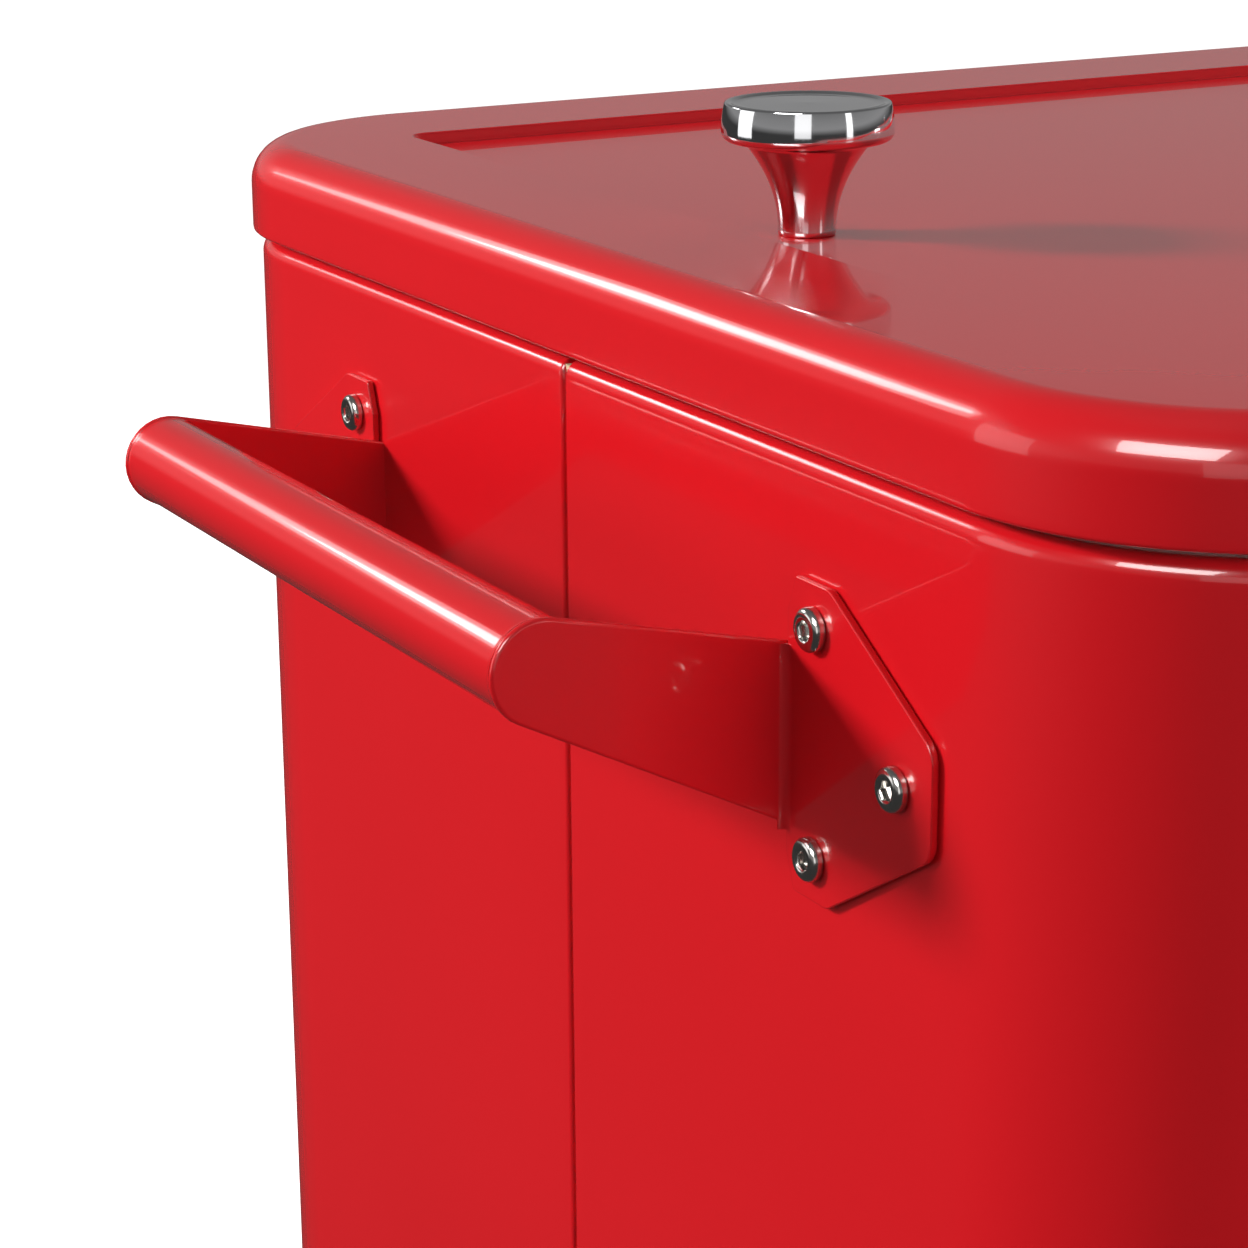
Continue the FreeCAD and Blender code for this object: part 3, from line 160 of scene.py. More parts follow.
def chrome():
    """Polished chrome with faint smears."""
    material, add, link = new_material("polished_chrome", Metallic=1.0)
    smear = object_noise(add, scale=60.0, detail=6.0, stretch=(1, 1, 3))
    link(value_range(add, smear.outputs["Fac"], 0.035, 0.09), "Roughness")
    two_tones(add, link, smear, (0.70, 0.70, 0.72), (0.80, 0.80, 0.81))
    return material


def steel(name, colour, roughness):
    """Turned or rolled steel with fine grain and small stains."""
    material, add, link = new_material(name, Metallic=1.0)
    grain = object_noise(add, scale=900.0, detail=3.0, stretch=(1, 1, 0.15))
    stain = object_noise(add, scale=90.0, detail=5.0)
    link(value_range(add, grain.outputs["Fac"], roughness * 0.75, roughness * 1.3),
         "Roughness")
    two_tones(add, link, stain, scaled(colour, 0.8), scaled(colour, 1.12))
    bump(add, link, grain.outputs["Fac"], depth=0.02 * MM)
    return material


def plastic(name, colour, roughness):
    """Moulded plastic with a fine grained surface and slight unevenness of tone."""
    material, add, link = new_material(name, IOR=1.47)
    cloud = object_noise(add, scale=14.0, detail=4.0)
    two_tones(add, link, cloud, scaled(colour, 0.88), scaled(colour, 1.06))
    grain = object_noise(add, scale=1500.0, detail=2.0)
    link(value_range(add, grain.outputs["Fac"], roughness * 0.85, roughness * 1.15),
         "Roughness")
    bump(add, link, grain.outputs["Fac"], depth=0.04 * MM)
    return material


def rubber(name, colour, roughness):
    """Matt rubber with dust in its pores."""
    material, add, link = new_material(name)
    pores = add("ShaderNodeTexVoronoi", {"Scale": 700.0})
    dust = object_noise(add, scale=40.0, detail=6.0)
    two_tones(add, link, dust, colour, scaled(colour, 1.8, lift=0.01))
    link(value_range(add, dust.outputs["Fac"], roughness * 0.85, roughness), "Roughness")
    bump(add, link, pores.outputs["Distance"], depth=0.05 * MM)
    return material


def foam():
    """Cast insulating foam with fine cells."""
    material, add, link = new_material("foam", Roughness=0.85)
    cells = add("ShaderNodeTexVoronoi", {"Scale": 900.0})
    cloud = object_noise(add, scale=30.0, detail=5.0)
    two_tones(add, link, cloud, (0.62, 0.52, 0.30), (0.78, 0.70, 0.46))
    bump(add, link, cells.outputs["Distance"], depth=0.2 * MM)
    return material


MATERIALS = {
    "red_paint": red_paint(),
    "polished_chrome": chrome(),
    "stainless": steel("stainless", (0.64, 0.62, 0.59), 0.17),
    "zinc_steel": steel("zinc_steel", (0.58, 0.59, 0.60), 0.34),
    "white_plastic": plastic("white_plastic", (0.80, 0.80, 0.77), 0.32),
    "black_plastic": plastic("black_plastic", (0.022, 0.022, 0.024), 0.42),
    "grey_rubber": rubber("grey_rubber", (0.10, 0.10, 0.105), 0.7),
    "wheel_rubber": rubber("wheel_rubber", (0.025, 0.025, 0.027), 0.6),
    "foam": foam(),
}
NODE_SLOT = {part["node"]: part["material_slot"] for part in frame["record"]["subparts"]}
for node_name, node_object in nodes.items():
    node_object.data.materials.clear()
    node_object.data.materials.append(MATERIALS[NODE_SLOT[node_name]])
    node_object.data.shade_smooth()
    node_object.data.set_sharp_from_angle(angle=math.radians(NODE_SHARP))


# ---- edges and shading ------------------------------------------------------------
def round_edges(item, width, segments, angle):
    """Rounds the edges that are sharper than the angle, in degrees, when drawn."""
    edge = item.modifiers.new("edge_round", "BEVEL")
    edge.width = width
    edge.segments = segments
    edge.limit_method = "ANGLE"
    edge.angle_limit = math.radians(angle)


def flatten_shading(item, keep_sharp):
    flat = item.modifiers.new("flat_faces", "WEIGHTED_NORMAL")
    flat.keep_sharp = keep_sharp
    flat.weight = FACE_WEIGHT


def soften(node_name, width):
    """Rounds a CAD node's sharp edges a little when it is drawn."""
    weld = nodes[node_name].modifiers.new("weld", "WELD")
    weld.merge_threshold = 0.01 * MM
    round_edges(nodes[node_name], width, segments=2, angle=50)
    flatten_shading(nodes[node_name], keep_sharp=False)


SOFT_EDGES = {
    "bottle_opener": 0.35, "cap_catcher": 0.4, "shelf": 0.4, "drain_cap": 0.5,
    "drain_nut": 0.4, "leg_end_plugs": 0.4,
}
for place in ("front_left", "front_right", "back_left", "back_right"):
    SOFT_EDGES[f"{place}_leg"] = 0.4
    SOFT_EDGES[f"{place}_caster_fork"] = 0.3
    SOFT_EDGES[f"{place}_caster_wheel"] = 0.5
for place in ("left", "right"):
    SOFT_EDGES[f"front_{place}_brake_lever"] = 0.5
for soft_node, rounding in SOFT_EDGES.items():
    soften(soft_node, rounding * MM)


# ---- mesh building ----------------------------------------------------------------
def finish_piece(mesh, name, body, slot, replaces=(), bevel=0.0, sharp=PIECE_SHARP):
    """Turn a mesh into a shaded piece that rides on a body and stands for CAD nodes."""
    piece = bpy.data.objects.new(name, mesh)
    bpy.context.scene.collection.objects.link(piece)
    mesh.materials.append(MATERIALS[slot])
    welded = bmesh.new()
    welded.from_mesh(mesh)
    bmesh.ops.remove_doubles(welded, verts=welded.verts, dist=1e-7)
    bmesh.ops.recalc_face_normals(welded, faces=welded.faces)
    welded.to_mesh(mesh)
    welded.free()
    mesh.shade_smooth()
    mesh.set_sharp_from_angle(angle=math.radians(sharp))
    if bevel:
        round_edges(piece, bevel, segments=3, angle=sharp)
    flatten_shading(piece, keep_sharp=not bevel)
    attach(piece, body)
    if replaces:
        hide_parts(*replaces)


def loft(loops):
    """A closed solid: quads between equal closed loops of points, both ends capped."""
    points = [tuple(point) for loop in loops for point in loop]
    count = len(loops[0])
    last = len(points) - count
    faces = []
    for here in range(0, last, count):
        for i in range(count):
            j = (i + 1) % count
            faces.append((here + i, here + j, here + count + j, here + count + i))
    faces.append(tuple(range(count))[::-1])
    faces.append(tuple(range(last, len(points))))
    mesh = bpy.data.meshes.new("loft")
    mesh.from_pydata(points, [], faces)
    return mesh


def merge(meshes):
    """Several meshes in one."""
    joined = bmesh.new()
    for mesh in meshes:
        joined.from_mesh(mesh)
        bpy.data.meshes.remove(mesh)
    result = bpy.data.meshes.new("merged")
    joined.to_mesh(result)
    joined.free()
    return result


def moved(mesh, matrix):
    copy = mesh.copy()
    copy.transform(matrix)
    return copy


def arc(a, b, radius, start, stop, steps=ROUND_STEPS):
    """Points of an arc about (a, b), its angles in degrees."""
    angles = [math.radians(start + (stop - start) * i / steps) for i in range(steps + 1)]
    return [(a + radius * math.cos(angle), b + radius * math.sin(angle)) for angle in angles]


def rounded_loop(rect, radii, z, inset=0.0):
    """A rectangle (x0, x1, y0, y1) with a radius at each corner, moved inwards by inset.
    The radii run from the (x0, y0) corner counter-clockwise."""
    x0, x1, y0, y1 = rect[0] + inset, rect[1] - inset, rect[2] + inset, rect[3] - inset
    r = [max(value - inset, LEAST_RADIUS) for value in radii]
    corners = ((x0 + r[0], y0 + r[0], 180), (x1 - r[1], y0 + r[1], 270),
               (x1 - r[2], y1 - r[2], 0), (x0 + r[3], y1 - r[3], 90))
    return [Vector((x, y, z)) for (a, b, start), radius in zip(corners, r)
            for x, y in arc(a, b, radius, start, start + 90, CORNER_STEPS)]


def lathe(profile, centre, steps, axis="Z"):
    """A solid of revolution of (radius, height) points about the Z or Y axis at centre."""
    turn = Matrix.Rotation(math.radians(-90), 3, "X") if axis == "Y" else Matrix.Identity(3)
    angles = [2 * math.pi * i / steps for i in range(steps)]
    return loft([[Vector(centre) + turn @ Vector((radius * math.cos(angle),
                                                  radius * math.sin(angle), height))
                  for angle in angles] for radius, height in profile])


def standing(outline, level, axis):
    """The (a, b) points of an outline that faces along X or Y, at a level on that axis."""
    return [Vector((level, a, b)) if axis == "X" else Vector((a, level, b))
            for a, b in outline]


def prism(outline, low, high, axis):
    """A flat outline of (a, b) points raised from low to high along the X or Y axis."""
    return loft([standing(outline, level, axis) for level in (low, high)])


def rounded_outline(corners, steps=ROUND_STEPS):
    """Points of an outline through (a, b, radius) corners."""
    result = []
    for i, (a, b, radius) in enumerate(corners):
        if radius <= 0:
            result.append((a, b))
            continue
        here = Vector((a, b))
        back = (Vector(corners[i - 1][:2]) - here).normalized()
        ahead = (Vector(corners[(i + 1) % len(corners)][:2]) - here).normalized()
        half = back.angle(ahead) / 2
        centre = here + (back + ahead).normalized() * (radius / math.sin(half))
        start = here + back * (radius / math.tan(half)) - centre
        stop = here + ahead * (radius / math.tan(half)) - centre
        turn = start.angle_signed(stop)
        result += [tuple(centre + Matrix.Rotation(-turn * step / steps, 2) @ start)
                   for step in range(steps + 1)]
    return result


def drawn_in(points, inset):
    """A closed outline moved inwards, whichever way round it runs."""
    result = []
    count = len(points)
    area = sum(points[i - 1][0] * points[i][1] - points[i][0] * points[i - 1][1]
               for i in range(count))
    for i, (a, b) in enumerate(points):
        along = (Vector(points[(i + 1) % count]) - Vector(points[i - 1])).normalized()
        inward = Vector((-along.y, along.x)) * (1 if area > 0 else -1)
        result.append((a + inward.x * inset, b + inward.y * inset))
    return result


def soft_sheet(outline, back, face, axis, back_edge, face_edge):
    """An outline of sheet between two levels, with rounds along its back and face."""
    turn = 1 if face > back else -1
    levels = [(back + turn * (back_edge + a), back_edge + b)
              for a, b in arc(0, 0, back_edge, 180, 270, EDGE_STEPS)]
    levels += [(face - turn * (face_edge - b), face_edge - a)
               for a, b in arc(0, 0, face_edge, 0, 90, EDGE_STEPS)]
    return loft([standing(drawn_in(outline, inset), level, axis) for level, inset in levels])


# ---- chest ------------------------------------------------------------------------
def wrap_path(x0, x1, y0, y1, side):
    """Plan points and outward directions along one C-shaped wrap, from seam to seam. Points
    just beyond each bend keep its shading off the flat wall."""
    radius = LID_CORNER - LID_OVERHANG
    beyond_bend, beyond_seam = 2 * MM, 3.5 * MM
    wall_y, seam_y = (y0, y1) if side < 0 else (y1, y0)
    bends = []
    for cx, start in ((x0 + radius, 180), (x1 - radius, 270)):
        for angle in (math.radians(start + 90 * i / CORNER_STEPS)
                      for i in range(CORNER_STEPS + 1)):
            out = Vector((math.cos(angle), -side * math.sin(angle), 0))
            bends.append((Vector((cx, wall_y - side * radius, 0)) + out * radius, out))
    end_rows = [seam_y, seam_y + side * beyond_seam, wall_y - side * (radius + beyond_bend)]
    left = [(Vector((x0, y, 0)), Vector((-1, 0, 0))) for y in end_rows]
    right = [(Vector((x1, y, 0)), Vector((1, 0, 0))) for y in reversed(end_rows)]
    wall = [(Vector((x, wall_y, 0)), Vector((0, side, 0)))
            for x in (x0 + radius + beyond_bend, x1 - radius - beyond_bend)]
    middle = len(bends) // 2
    return left + bends[:middle] + wall + bends[middle:] + right


def body_wrap(node, side):
    """One wrap of painted sheet with a rounded shoulder and softly rolled seam edges."""
    x0, x1, y0, y1, z0, z1 = box(node)
    flange = 26 * MM                    # how far the top turns in
    blunt = 0.3 * MM                    # of the lower edge
    above_foot, below_head, below_shoulder = 2 * MM, 30 * MM, 1.5 * MM
    shoulder = z1 - SHOULDER
    profile = [(0.0, z0 + blunt), (0.0, z0 + above_foot), (0.0, z1 - below_head),
               (0.0, shoulder - below_shoulder)]
    profile += arc(SHOULDER, shoulder, SHOULDER, 180, 90)
    profile += [(flange, z1), (flange, z1 - SHEET)]
    profile += arc(SHOULDER, shoulder, SHOULDER - SHEET, 90, 180)
    profile += [(SHEET, z1 - below_head), (SHEET, z0 + blunt), (SHEET - blunt, z0), (blunt, z0)]

    def section(point, out, push=0.0, drop=0.0):
        return [point - out * (inset + push)
                + Vector((0, 0, height - (drop if height > z1 - 2 * SHOULDER else 0.0)))
                for inset, height in profile]

    roll, dip = 1.6 * MM, 2.6 * MM      # the seam edge's round, and its drop at the shoulder
    last_turn, turn_steps = 80, 6
    turns = [math.radians(last_turn * i / turn_steps) for i in range(turn_steps + 1)]

    def rolled_edge(point, out):
        """Sections from the wall round to the seam's edge."""
        return [section(point + Vector((0, side * roll * (1 - math.sin(turn)), 0)), out,
                        roll * (1 - math.cos(turn)),
                        dip * (1 - math.cos(turn)) / (1 - math.cos(turns[-1])))
                for turn in turns]

    path = wrap_path(x0, x1, y0, y1, side)
    sections = rolled_edge(*path[0])[::-1]
    sections += [section(point, out) for point, out in path[1:-1]]
    sections += rolled_edge(*path[-1])
    finish_piece(loft(sections), node + "_skin", "cooler_body", "red_paint", [node])


def seam_backing(end, out):
    """The joggled strip that lies behind the seam of the two wraps at one end."""
    front, back = box("shell_front"), box("shell_back")
    wall = front[0] if out < 0 else front[1]
    overlap, behind, thickness = 7 * MM, 2.1 * MM, 0.8 * MM
    above_foot, below_top, corner = 1 * MM, 3.2 * MM, 1 * MM
    y0, y1 = front[3] - overlap, back[2] + overlap
    z0, z1 = front[4] + above_foot, front[5] - below_top
    outline = rounded_outline([(y0, z0, 0), (y1, z0, 0), (y1, z1, corner), (y0, z1, corner)])
    low, high = sorted((wall - out * (behind + thickness), wall - out * behind))
    finish_piece(prism(outline, low, high, "X"), f"{end}_seam_backing", "cooler_body",
                 "red_paint", sharp=35)


def lid_skin(side):
    """Pressed lid: hemmed lower edge, rounded top edge and a recessed panel."""
    node = f"{side}_lid_shell"
    x0, x1, y0, y1, z0, z1 = box(node)
    rect = (x0, x1, y0, y1)
    tight = 2 * MM                      # corners that meet the centre bar
    hem, fold_inside, fold_outside = 0.9 * MM, 4 * MM, 2.4 * MM     # the folded lower edge
    margin, end_margin, inner_margin = 51 * MM, 47 * MM, 26 * MM
    if side == "left":
        radii = [LID_CORNER, tight, tight, LID_CORNER]
        panel = (x0 + end_margin, x1 - inner_margin, y0 + margin, y1 - margin)
    else:
        radii = [tight, LID_CORNER, LID_CORNER, tight]
        panel = (x0 + inner_margin, x1 - end_margin, y0 + margin, y1 - margin)

    outside = [(LID_EDGE, z1 - RECESS_DROP - SHEET), (SHEET, z1 - LID_EDGE),
               (SHEET, z0 + fold_inside), (2 * hem, z0 + hem)]
    outside += arc(hem, z0 + hem, hem, 360, 180, 6)[1:]
    outside.append((0.0, z0 + fold_outside))
    outside += arc(LID_EDGE, z1 - LID_EDGE, LID_EDGE, 180, 90, 12)
    loops = [rounded_loop(rect, radii, height, inset) for inset, height in outside]

    lip, foot, draft = 0.9 * MM, 1.2 * MM, 0.4 * MM     # rounds and slope of the recess's wall
    recess = [(inset - lip, height) for inset, height in arc(0, z1 - lip, lip, 90, 0, 4)]
    recess += arc(foot + draft, z1 - RECESS_DROP + foot, foot, 180, 270, 4)
    loops += [rounded_loop(panel, [RECESS_CORNER] * 4, height, inset)
              for inset, height in recess]
    finish_piece(loft(loops), f"{side}_lid_skin", f"{side}_lid", "red_paint", [node], sharp=35)


def bar_cover():
    """The bar between the lids, with the lids' own edge shape at front and back."""
    x0, x1, y0, y1, z0, z1 = box("centre_bar")
    half = 16 * MM
    blunt = 0.8 * MM
    from_end = 42 * MM                  # where the flange under the lids starts
    skirt = box("left_lid_shell")[4]
    outline = rounded_outline([(y0, skirt, blunt), (y1, skirt, blunt), (y1, z1, LID_EDGE),
                               (y0, z1, LID_EDGE)], 10)
    flange = [(x0, z0), (x1, z0), (x1, z0 + SHEET), (x0, z0 + SHEET)]
    mesh = merge([prism(outline, -half, half, "X"),
                  prism(flange, y0 + from_end, y1 - from_end, "Y")])
    finish_piece(mesh, "centre_bar_cover", "cooler_body", "red_paint", ["centre_bar"],
                 bevel=blunt, sharp=35)


body_wrap("shell_front", -1)
body_wrap("shell_back", 1)
seam_backing("left", -1)
seam_backing("right", 1)
for lid_side in ("left", "right"):
    lid_skin(lid_side)
bar_cover()


# ---- knobs ------------------------------------------------------------------------
def knob(side):
    """Mushroom knob: flat cap with a fine raised rim and a crowned side, flared neck."""
    node = f"{side}_knob"
    x0, x1, y0, y1, z0, z1 = box(node)
    cap = (x1 - x0) / 2
    tall = z1 - z0
    cap_height, centre_drop = 9 * MM, 0.3 * MM
    neck_top = tall - cap_height
    neck, foot, blunt = 15.0 * MM, 6.8 * MM, 0.3 * MM
    flare, flare_steps = 2.2, 20        # the neck widens with this power of its height
    profile = [(AXIS_GAP, 0), (foot - blunt, 0), (foot, blunt)]
    for t in (step / flare_steps for step in range(1, flare_steps + 1)):
        profile.append((foot + (neck - foot) * t ** flare,
                        blunt + (neck_top - 2 * blunt) * t))

    belly, crown, lean = 2.2 * MM, 28 * MM, 13          # the side's rounds, and its lean
    top = 0.6 * MM                                      # the round at the cap's top edge
    profile += arc(cap - belly, neck_top + belly, belly, 285, 360, 9)
    side_steps = 12
    side_arc = arc(cap - crown, neck_top + belly, crown, 1, lean, side_steps)
    leant = Vector((math.cos(math.radians(lean)), math.sin(math.radians(lean))))
    shoulder = Vector(side_arc[-1]) - top * leant
    rise = tall - top - shoulder.y                      # spread over the side, to end at tall
    profile += [(r, h + rise * i / side_steps) for i, (r, h) in enumerate(side_arc)][1:]
    profile += arc(shoulder.x, tall - top, top, lean, 90, 7)[1:]
    dished = ((1.0, 0.05), (1.5, 0.45), (4.0, 0.55))    # rim: mm in from the shoulder, mm down
    profile += [(shoulder.x - inwards * MM, tall - down * MM) for inwards, down in dished]
    profile.append((AXIS_GAP, tall - centre_drop))
    mesh = lathe(profile, ((x0 + x1) / 2, (y0 + y1) / 2, z0), steps=128)
    finish_piece(mesh, f"{side}_lid_knob", f"{side}_lid", "polished_chrome", [node])


for lid_side in ("left", "right"):
    knob(lid_side)


# ---- handles ----------------------------------------------------------------------
BEND = 103 * MM             # from the bar's middle to the outside of a bracket's leg


def middle_of(node):
    low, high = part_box(node)
    return (low + high) / 2


def bracket_places(end, depth):
    """The chest's wall, the bracket's mid-height, its bar's middle along Y, and which way
    the bracket faces along X and Y."""
    low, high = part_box(f"{end}_handle_bracket_{depth}")
    out = -1 if end == "left" else 1
    side = -1 if depth == "front" else 1
    wall = high.x if out < 0 else low.x
    return wall, (low.z + high.z) / 2, middle_of(f"{end}_handle_bar").y, out, side


def bracket_plate(zc, half):
    """Outline of the plate on the chest: (distance from the bar's middle, height)."""
    knee, tip, tip_half = 119 * MM, 157 * MM, 11.2 * MM
    notch, notch_drop = 3 * MM, 8 * MM
    upper = [(BEND, zc + half - notch_drop, 0.6 * MM), (BEND + notch, zc + half, 1 * MM),
             (knee, zc + half, 5 * MM), (tip, zc + tip_half, 6 * MM)]
    lower = [(a, 2 * zc - b, radius) for a, b, radius in reversed(upper)]
    return rounded_outline(upper[1:] + lower + upper[:1])


def bracket_leg(reach, bar_z, top, bottom):
    """Outline of the leg, from inside the chest's wall to a round tip about the bar."""
    radius = 11.28 * MM
    sunk = 1 * MM
    steps = 16
    centre = Vector((reach, bar_z))

    def touch(b, sign):
        """Angle at which the edge that starts at height b meets the tip."""
        edge = Vector((0, b)) - centre
        return math.atan2(edge.y, edge.x) + sign * math.acos(radius / edge.length)

    start, stop = touch(bottom, 1), touch(top, -1)
    while stop < start:
        stop += 2 * math.pi
    tip = arc(*centre, radius, math.degrees(start), math.degrees(stop), steps)
    return [(-sunk, top), (-sunk, bottom)] + tip


def bend_fillet(wall, middle, out, side, low, high):
    """The round inside the bend, between the plate's face and the leg."""
    fillet = 2.2 * MM
    sunk, buried = 0.02 * MM, 0.5 * MM
    face = wall + out * BRACKET_SHEET
    strip = [(face + out * (fillet - b - sunk), middle + side * (BEND + fillet - a - sunk))
             for a, b in arc(0, 0, fillet, 0, 90)]
    strip.append((face - out * buried, middle + side * (BEND - buried)))
    rise = 0.24 * fillet                # the leg's edges climb towards its tip
    return loft([[Vector((x, y, z)) for x, y in strip]
                 for z in (low + rise, high + rise / 2)])


def bracket(end, depth):
    """Bent-sheet bracket: chamfered plate on the chest, tapered leg, soft bend."""
    node = f"{end}_handle_bracket_{depth}"
    wall, zc, middle, out, side = bracket_places(end, depth)
    bar = middle_of(f"{end}_handle_bar")
    top, bottom = zc + 18.7 * MM, zc - 21.7 * MM        # the leg's edges at the chest
    back_round, face_round, leg_round = 0.9 * MM, 0.4 * MM, 0.85 * MM
    half = zc - box(node)[4]
    plate = [(middle + side * a, b) for a, b in bracket_plate(zc, half)]
    leg = [(wall + out * a, b)
           for a, b in bracket_leg(abs(bar.x - wall), bar.z, top, bottom)]
    mesh = merge([
        soft_sheet(plate, wall, wall + out * BRACKET_SHEET, "X", back_round, face_round),
        soft_sheet(leg, middle + side * (BEND - BRACKET_SHEET), middle + side * BEND, "Y",
                   leg_round, leg_round),
        bend_fillet(wall, middle, out, side, bottom, top)])
    finish_piece(mesh, f"{end}_{depth}_bracket", "cooler_body", "red_paint", [node])


def handle_bar(end):
    """Round bar between the legs, flared where it is welded to them."""
    node = f"{end}_handle_bar"
    x0, x1, y0, y1, z0, z1 = box(node)
    radius = (x1 - x0) / 2
    length = y1 - y0
    end_face = radius - 1.5 * MM
    flared, flare_end = 0.5 * MM, 1.2 * MM
    waist = radius - 0.25 * MM
    near = [(end_face, 0), (radius, 0), (radius, flared), (waist, flare_end)]
    far = [(r, length - along) for r, along in reversed(near)]
    mesh = lathe(near + far, ((x0 + x1) / 2, y0, (z0 + z1) / 2), steps=96, axis="Y")
    finish_piece(mesh, f"{end}_bar", "cooler_body", "red_paint", [node])


for handle_end in ("left", "right"):
    handle_bar(handle_end)
    for bracket_depth in ("front", "back"):
        bracket(handle_end, bracket_depth)


# ---- button screws ----------------------------------------------------------------
def hex_radius(angle, across):
    """Distance from a hexagon's centre to its edge in the given direction."""
    sector = (angle % (math.pi / 3)) - math.pi / 6
    return across / 2 / math.cos(sector)


def button_head():
    """Button head with a hex socket, about +Z, its seat at Z = 0."""
    head, tall, shank = 4.75 * MM, 2.75 * MM, 2.5 * MM
    blunt, side, dome = 0.3 * MM, 1.0 * MM, 1.6 * MM
    steps = 60
    angles = [2 * math.pi * i / steps for i in range(steps)]

    def loop(height, radius_at):
        return [Vector((radius_at(angle) * math.cos(angle), radius_at(angle) * math.sin(angle),
                        height)) for angle in angles]

    def ring(radius, height):
        return loop(height, lambda angle: radius)

    def hexagon(across, height):
        return loop(height, lambda angle: hex_radius(angle, across))

    rings = [(shank, -6 * MM), (shank, 0), (head - blunt, 0), (head, blunt), (head, side)]
    rings += arc(head - dome, tall - dome, dome, 5, 80)
    rings += [(2.6 * MM, tall), (2.4 * MM, tall - 0.1 * MM)]
    socket = [(3.9 * MM, tall - 0.35 * MM), (3.7 * MM, tall - 0.6 * MM), (3.7 * MM, 0.9 * MM)]
    return loft([ring(*level) for level in rings] + [hexagon(*level) for level in socket]
                + [ring(0.5 * MM, 0.6 * MM)])


def screw_places():
    """Where the button screws sit and which way their heads face, from the boxes."""
    places = []
    near, far, spread = 113.5 * MM, 144.5 * MM, 24.6 * MM       # on a bracket's plate
    for end in ("left", "right"):
        for depth in ("front", "back"):
            wall, zc, middle, out, side = bracket_places(end, depth)
            for a, b in ((near, spread), (near, -spread), (far, 0)):
                places.append((Vector((wall + out * BRACKET_SHEET, middle + side * a, zc + b)),
                               Vector((out, 0, 0))))
    forward = Vector((0, -1, 0))
    inset, opener_sheet = 10 * MM, 3 * MM
    low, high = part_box("bottle_opener")
    for z in (low.z + inset, high.z - inset):
        places.append((Vector((0, high.y - opener_sheet, z)), forward))
    reach, drop, catcher_sheet = 40 * MM, 20 * MM, 1.25 * MM
    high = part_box("cap_catcher")[1]
    for x in (-reach, reach):
        places.append((Vector((x, high.y - catcher_sheet, high.z - drop)), forward))
    return places


def button_screws():
    head = button_head()
    heads = []
    for place, facing in screw_places():
        turn = facing.to_track_quat("Z", "X").to_matrix().to_4x4()
        spin = Matrix.Rotation(random.uniform(0, math.pi / 3), 4, "Z")
        heads.append(moved(head, Matrix.Translation(place) @ turn @ spin))
    bpy.data.meshes.remove(head)
    finish_piece(merge(heads), "button_screw_heads", "cooler_body", "stainless",
                 ["button_screws"], sharp=40)


button_screws()


# ---- stage, light and camera --------------------------------------------------------
def floor():
    """A pale floor that shows shadows, and throws no light back onto the chest. Its glow is
    painted light: dim near the chest and full white away from it.
    """
    mesh = bpy.data.meshes.new("floor")
    reach = 30
    mesh.from_pydata([(-reach, -reach, 0), (reach, -reach, 0), (reach, reach, 0),
                      (-reach, reach, 0)], [], [(0, 1, 2, 3)])
    piece = bpy.data.objects.new("floor", mesh)
    bpy.context.scene.collection.objects.link(piece)
    material, add, link = new_material("pale_floor", Roughness=0.9,
                                       Base_Color=(0.82, 0.82, 0.82, 1),
                                       Specular_IOR_Level=0.0, Emission_Color=(1, 1, 1, 1))
    place = add("ShaderNodeTexCoord")
    away = add("ShaderNodeVectorMath", {0: place.outputs["Object"]}, operation="LENGTH")
    # painted light: the floor glows more the farther it is from the chest, from 0.4 near it to
    # 1.0 far away
    link(value_range(add, away.outputs["Value"], 0.40, 1.0, start=0.6, stop=1.9),
         "Emission Strength")
    mesh.materials.append(material)
    piece.visible_glossy = False
    piece.visible_diffuse = False


def softbox(name, bearing, distance, size, level, lights="diffuse"):
    """An area light seen from the near top corner of the left lid along a bearing.
    It is as wide and tall as size; level is what it adds to a white surface facing it.
    It lights without showing in gloss; with lights set to "gloss" it shows there alone."""
    low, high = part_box("left_lid_shell")
    target = Vector((low.x + 60 * MM, (low.y + high.y) / 2 - 50 * MM, high.z - 30 * MM))
    data = bpy.data.lights.new(name, "AREA")
    data.shape = "RECTANGLE"
    data.size, data.size_y = size
    data.energy = level * 4 * math.pi * distance ** 2
    light = bpy.data.objects.new(name, data)
    bpy.context.scene.collection.objects.link(light)
    toward = Vector(bearing).normalized()
    light.location = target + toward * distance
    light.rotation_mode = "QUATERNION"
    light.rotation_quaternion = toward.to_track_quat("Z", "Y")
    light.visible_diffuse = lights == "diffuse"
    light.visible_glossy = lights == "gloss"


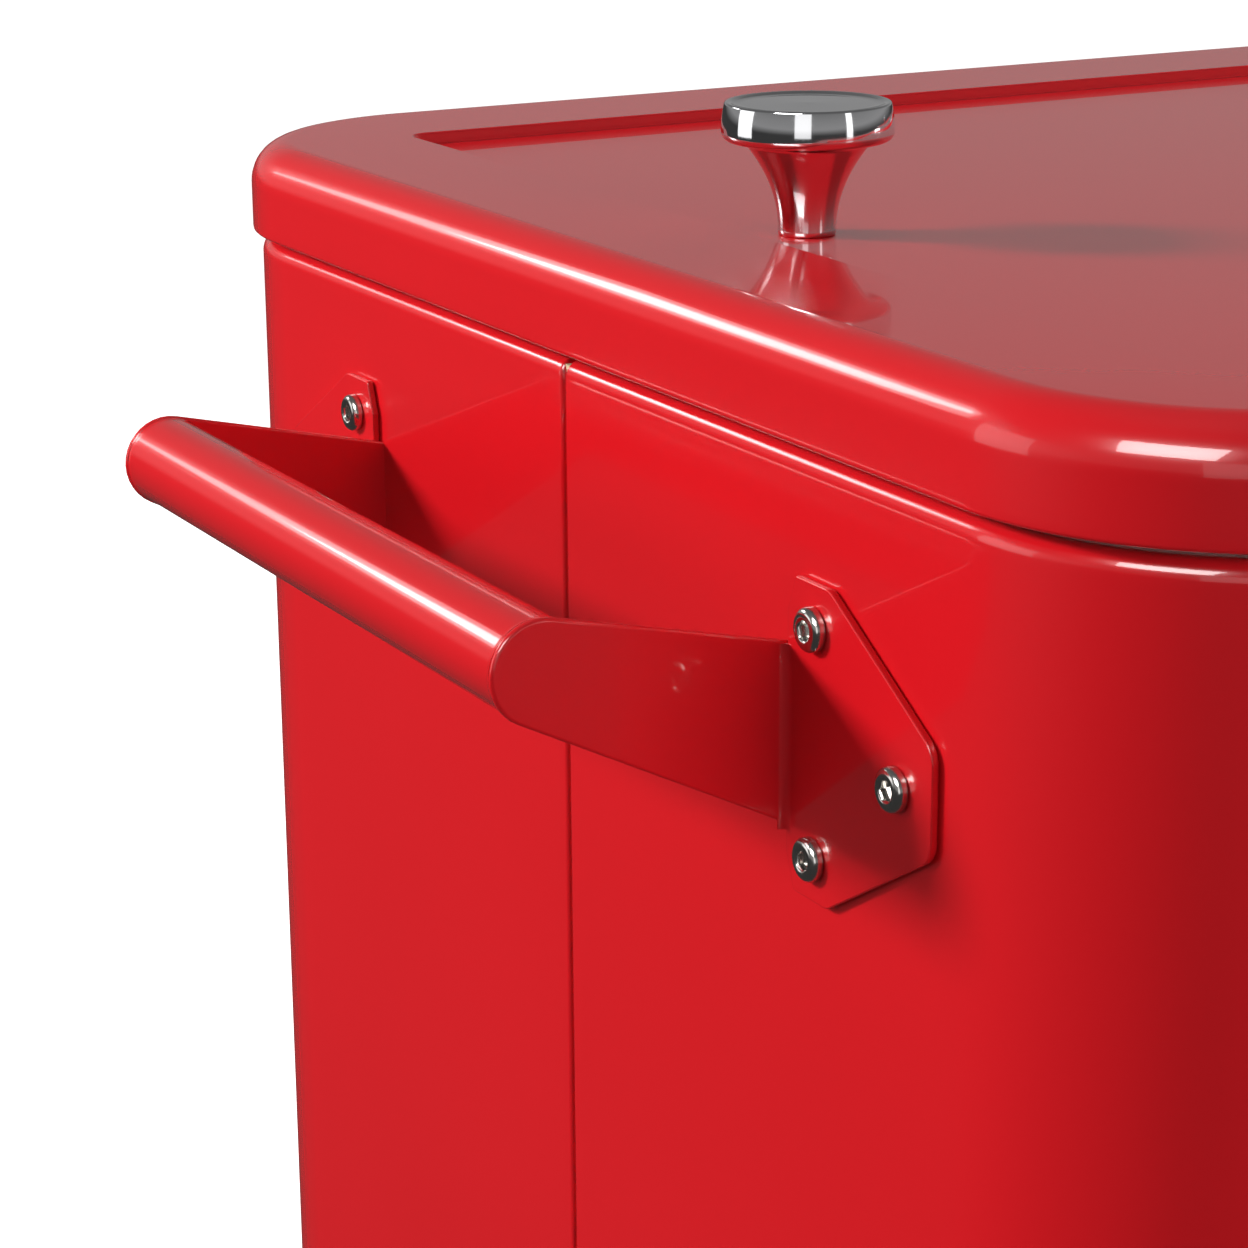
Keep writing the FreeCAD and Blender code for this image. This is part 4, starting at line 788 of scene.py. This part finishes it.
def world():
    """A pale room: brightest in a band above the horizon, dim overhead, dark below."""
    scene_world = bpy.data.worlds.new("studio")
    bpy.context.scene.world = scene_world
    scene_world.use_nodes = True
    tree = scene_world.node_tree
    place = tree.nodes.new("ShaderNodeTexCoord")
    split = tree.nodes.new("ShaderNodeSeparateXYZ")
    shift = tree.nodes.new("ShaderNodeMapRange")
    shift.inputs["From Min"].default_value = -1
    shift.inputs["From Max"].default_value = 1
    ramp = tree.nodes.new("ShaderNodeValToRGB")
    tree.links.new(place.outputs["Generated"], split.inputs["Vector"])
    tree.links.new(split.outputs["Z"], shift.inputs["Value"])
    tree.links.new(shift.outputs["Result"], ramp.inputs["Fac"])
    tree.links.new(ramp.outputs["Color"], tree.nodes["Background"].inputs["Color"])
    # (share of the way from straight down to straight up, grey level)
    stops = [(0.485, 0.045), (0.53, 0.30), (0.60, 0.25), (0.68, 0.17), (0.85, 0.12)]
    while len(ramp.color_ramp.elements) < len(stops):
        ramp.color_ramp.elements.new(0.5)
    for element, (position, level) in zip(ramp.color_ramp.elements, stops):
        element.position = position
        element.color = (level, level, level, 1)


def card(name, azimuth, elevation, size, glow):
    """A softbox of the given glow that shows only in gloss; its angles are in degrees."""
    distance = 5.0
    turn, rise = math.radians(azimuth), math.radians(elevation)
    bearing = (math.cos(turn) * math.cos(rise), math.sin(turn) * math.cos(rise), math.sin(rise))
    wide, tall = (2 * distance * math.tan(math.radians(angle / 2)) for angle in size)
    level = glow * wide * tall / (math.pi * distance ** 2)
    softbox(name, bearing, distance, (wide, tall), level, "gloss")


def lights():
    """What lights the chest, and what shows on its edges, lid corner and knobs."""
    softbox("key_back_left", (-0.726, 0.572, 0.377), 2.6, (0.42, 0.42), 0.85)
    softbox("fill_left", (-1.0, 0.35, 0.10), 3.0, (1.8, 1.8), 0.18)
    softbox("fill_front", (0.10, -1.0, 0.10), 3.2, (2.2, 2.2), 0.40)
    softbox("fill_right", (0.85, 0.45, 0.25), 3.0, (2.0, 2.0), 0.3)
    softbox("overhead", (0.1, 0.1, 1.0), 2.5, (1.5, 1.5), 0.1)
    card("streak_core", 116.5, 20.5, (11, 6.5), 6.5)
    card("streak_halo", 116, 20.5, (17, 12), 2.2)
    card("lens", 207, 37, (32, 22), 12)
    card("knob_left", 146, 6, (26, 26), 1.1)
    card("knob_middle", 232, 8, (22, 26), 0.8)
    card("knob_right", 296, 8, (9, 26), 1.1)


def camera():
    """The camera looks along the chest's length from beyond its near left corner."""
    azimuth, elevation, roll = (math.radians(angle) for angle in (-28.154, 16.468, 0.467))
    from_lid = Vector((-0.33656, -0.66225, 0.15503))    # from the lid's left end, at mid-depth
    back = Vector((math.sin(azimuth) * math.cos(elevation),
                   -math.cos(azimuth) * math.cos(elevation), math.sin(elevation)))
    right = Vector((math.cos(azimuth), math.sin(azimuth), 0))
    up = back.cross(right)
    rolled_right = right * math.cos(roll) - up * math.sin(roll)
    rolled_up = right * math.sin(roll) + up * math.cos(roll)
    data = bpy.data.cameras.new("camera")
    data.sensor_width = 36
    data.lens = 96.17
    item = bpy.data.objects.new("camera", data)
    bpy.context.scene.collection.objects.link(item)
    low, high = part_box("left_lid_shell")
    place = Vector((low.x, (low.y + high.y) / 2, low.z)) + from_lid
    turn = Matrix((rolled_right, rolled_up, back)).transposed().to_4x4()
    item.matrix_world = Matrix.Translation(place) @ turn
    bpy.context.scene.camera = item


floor()
world()
lights()
camera()
bpy.context.scene.view_settings.view_transform = "Standard"
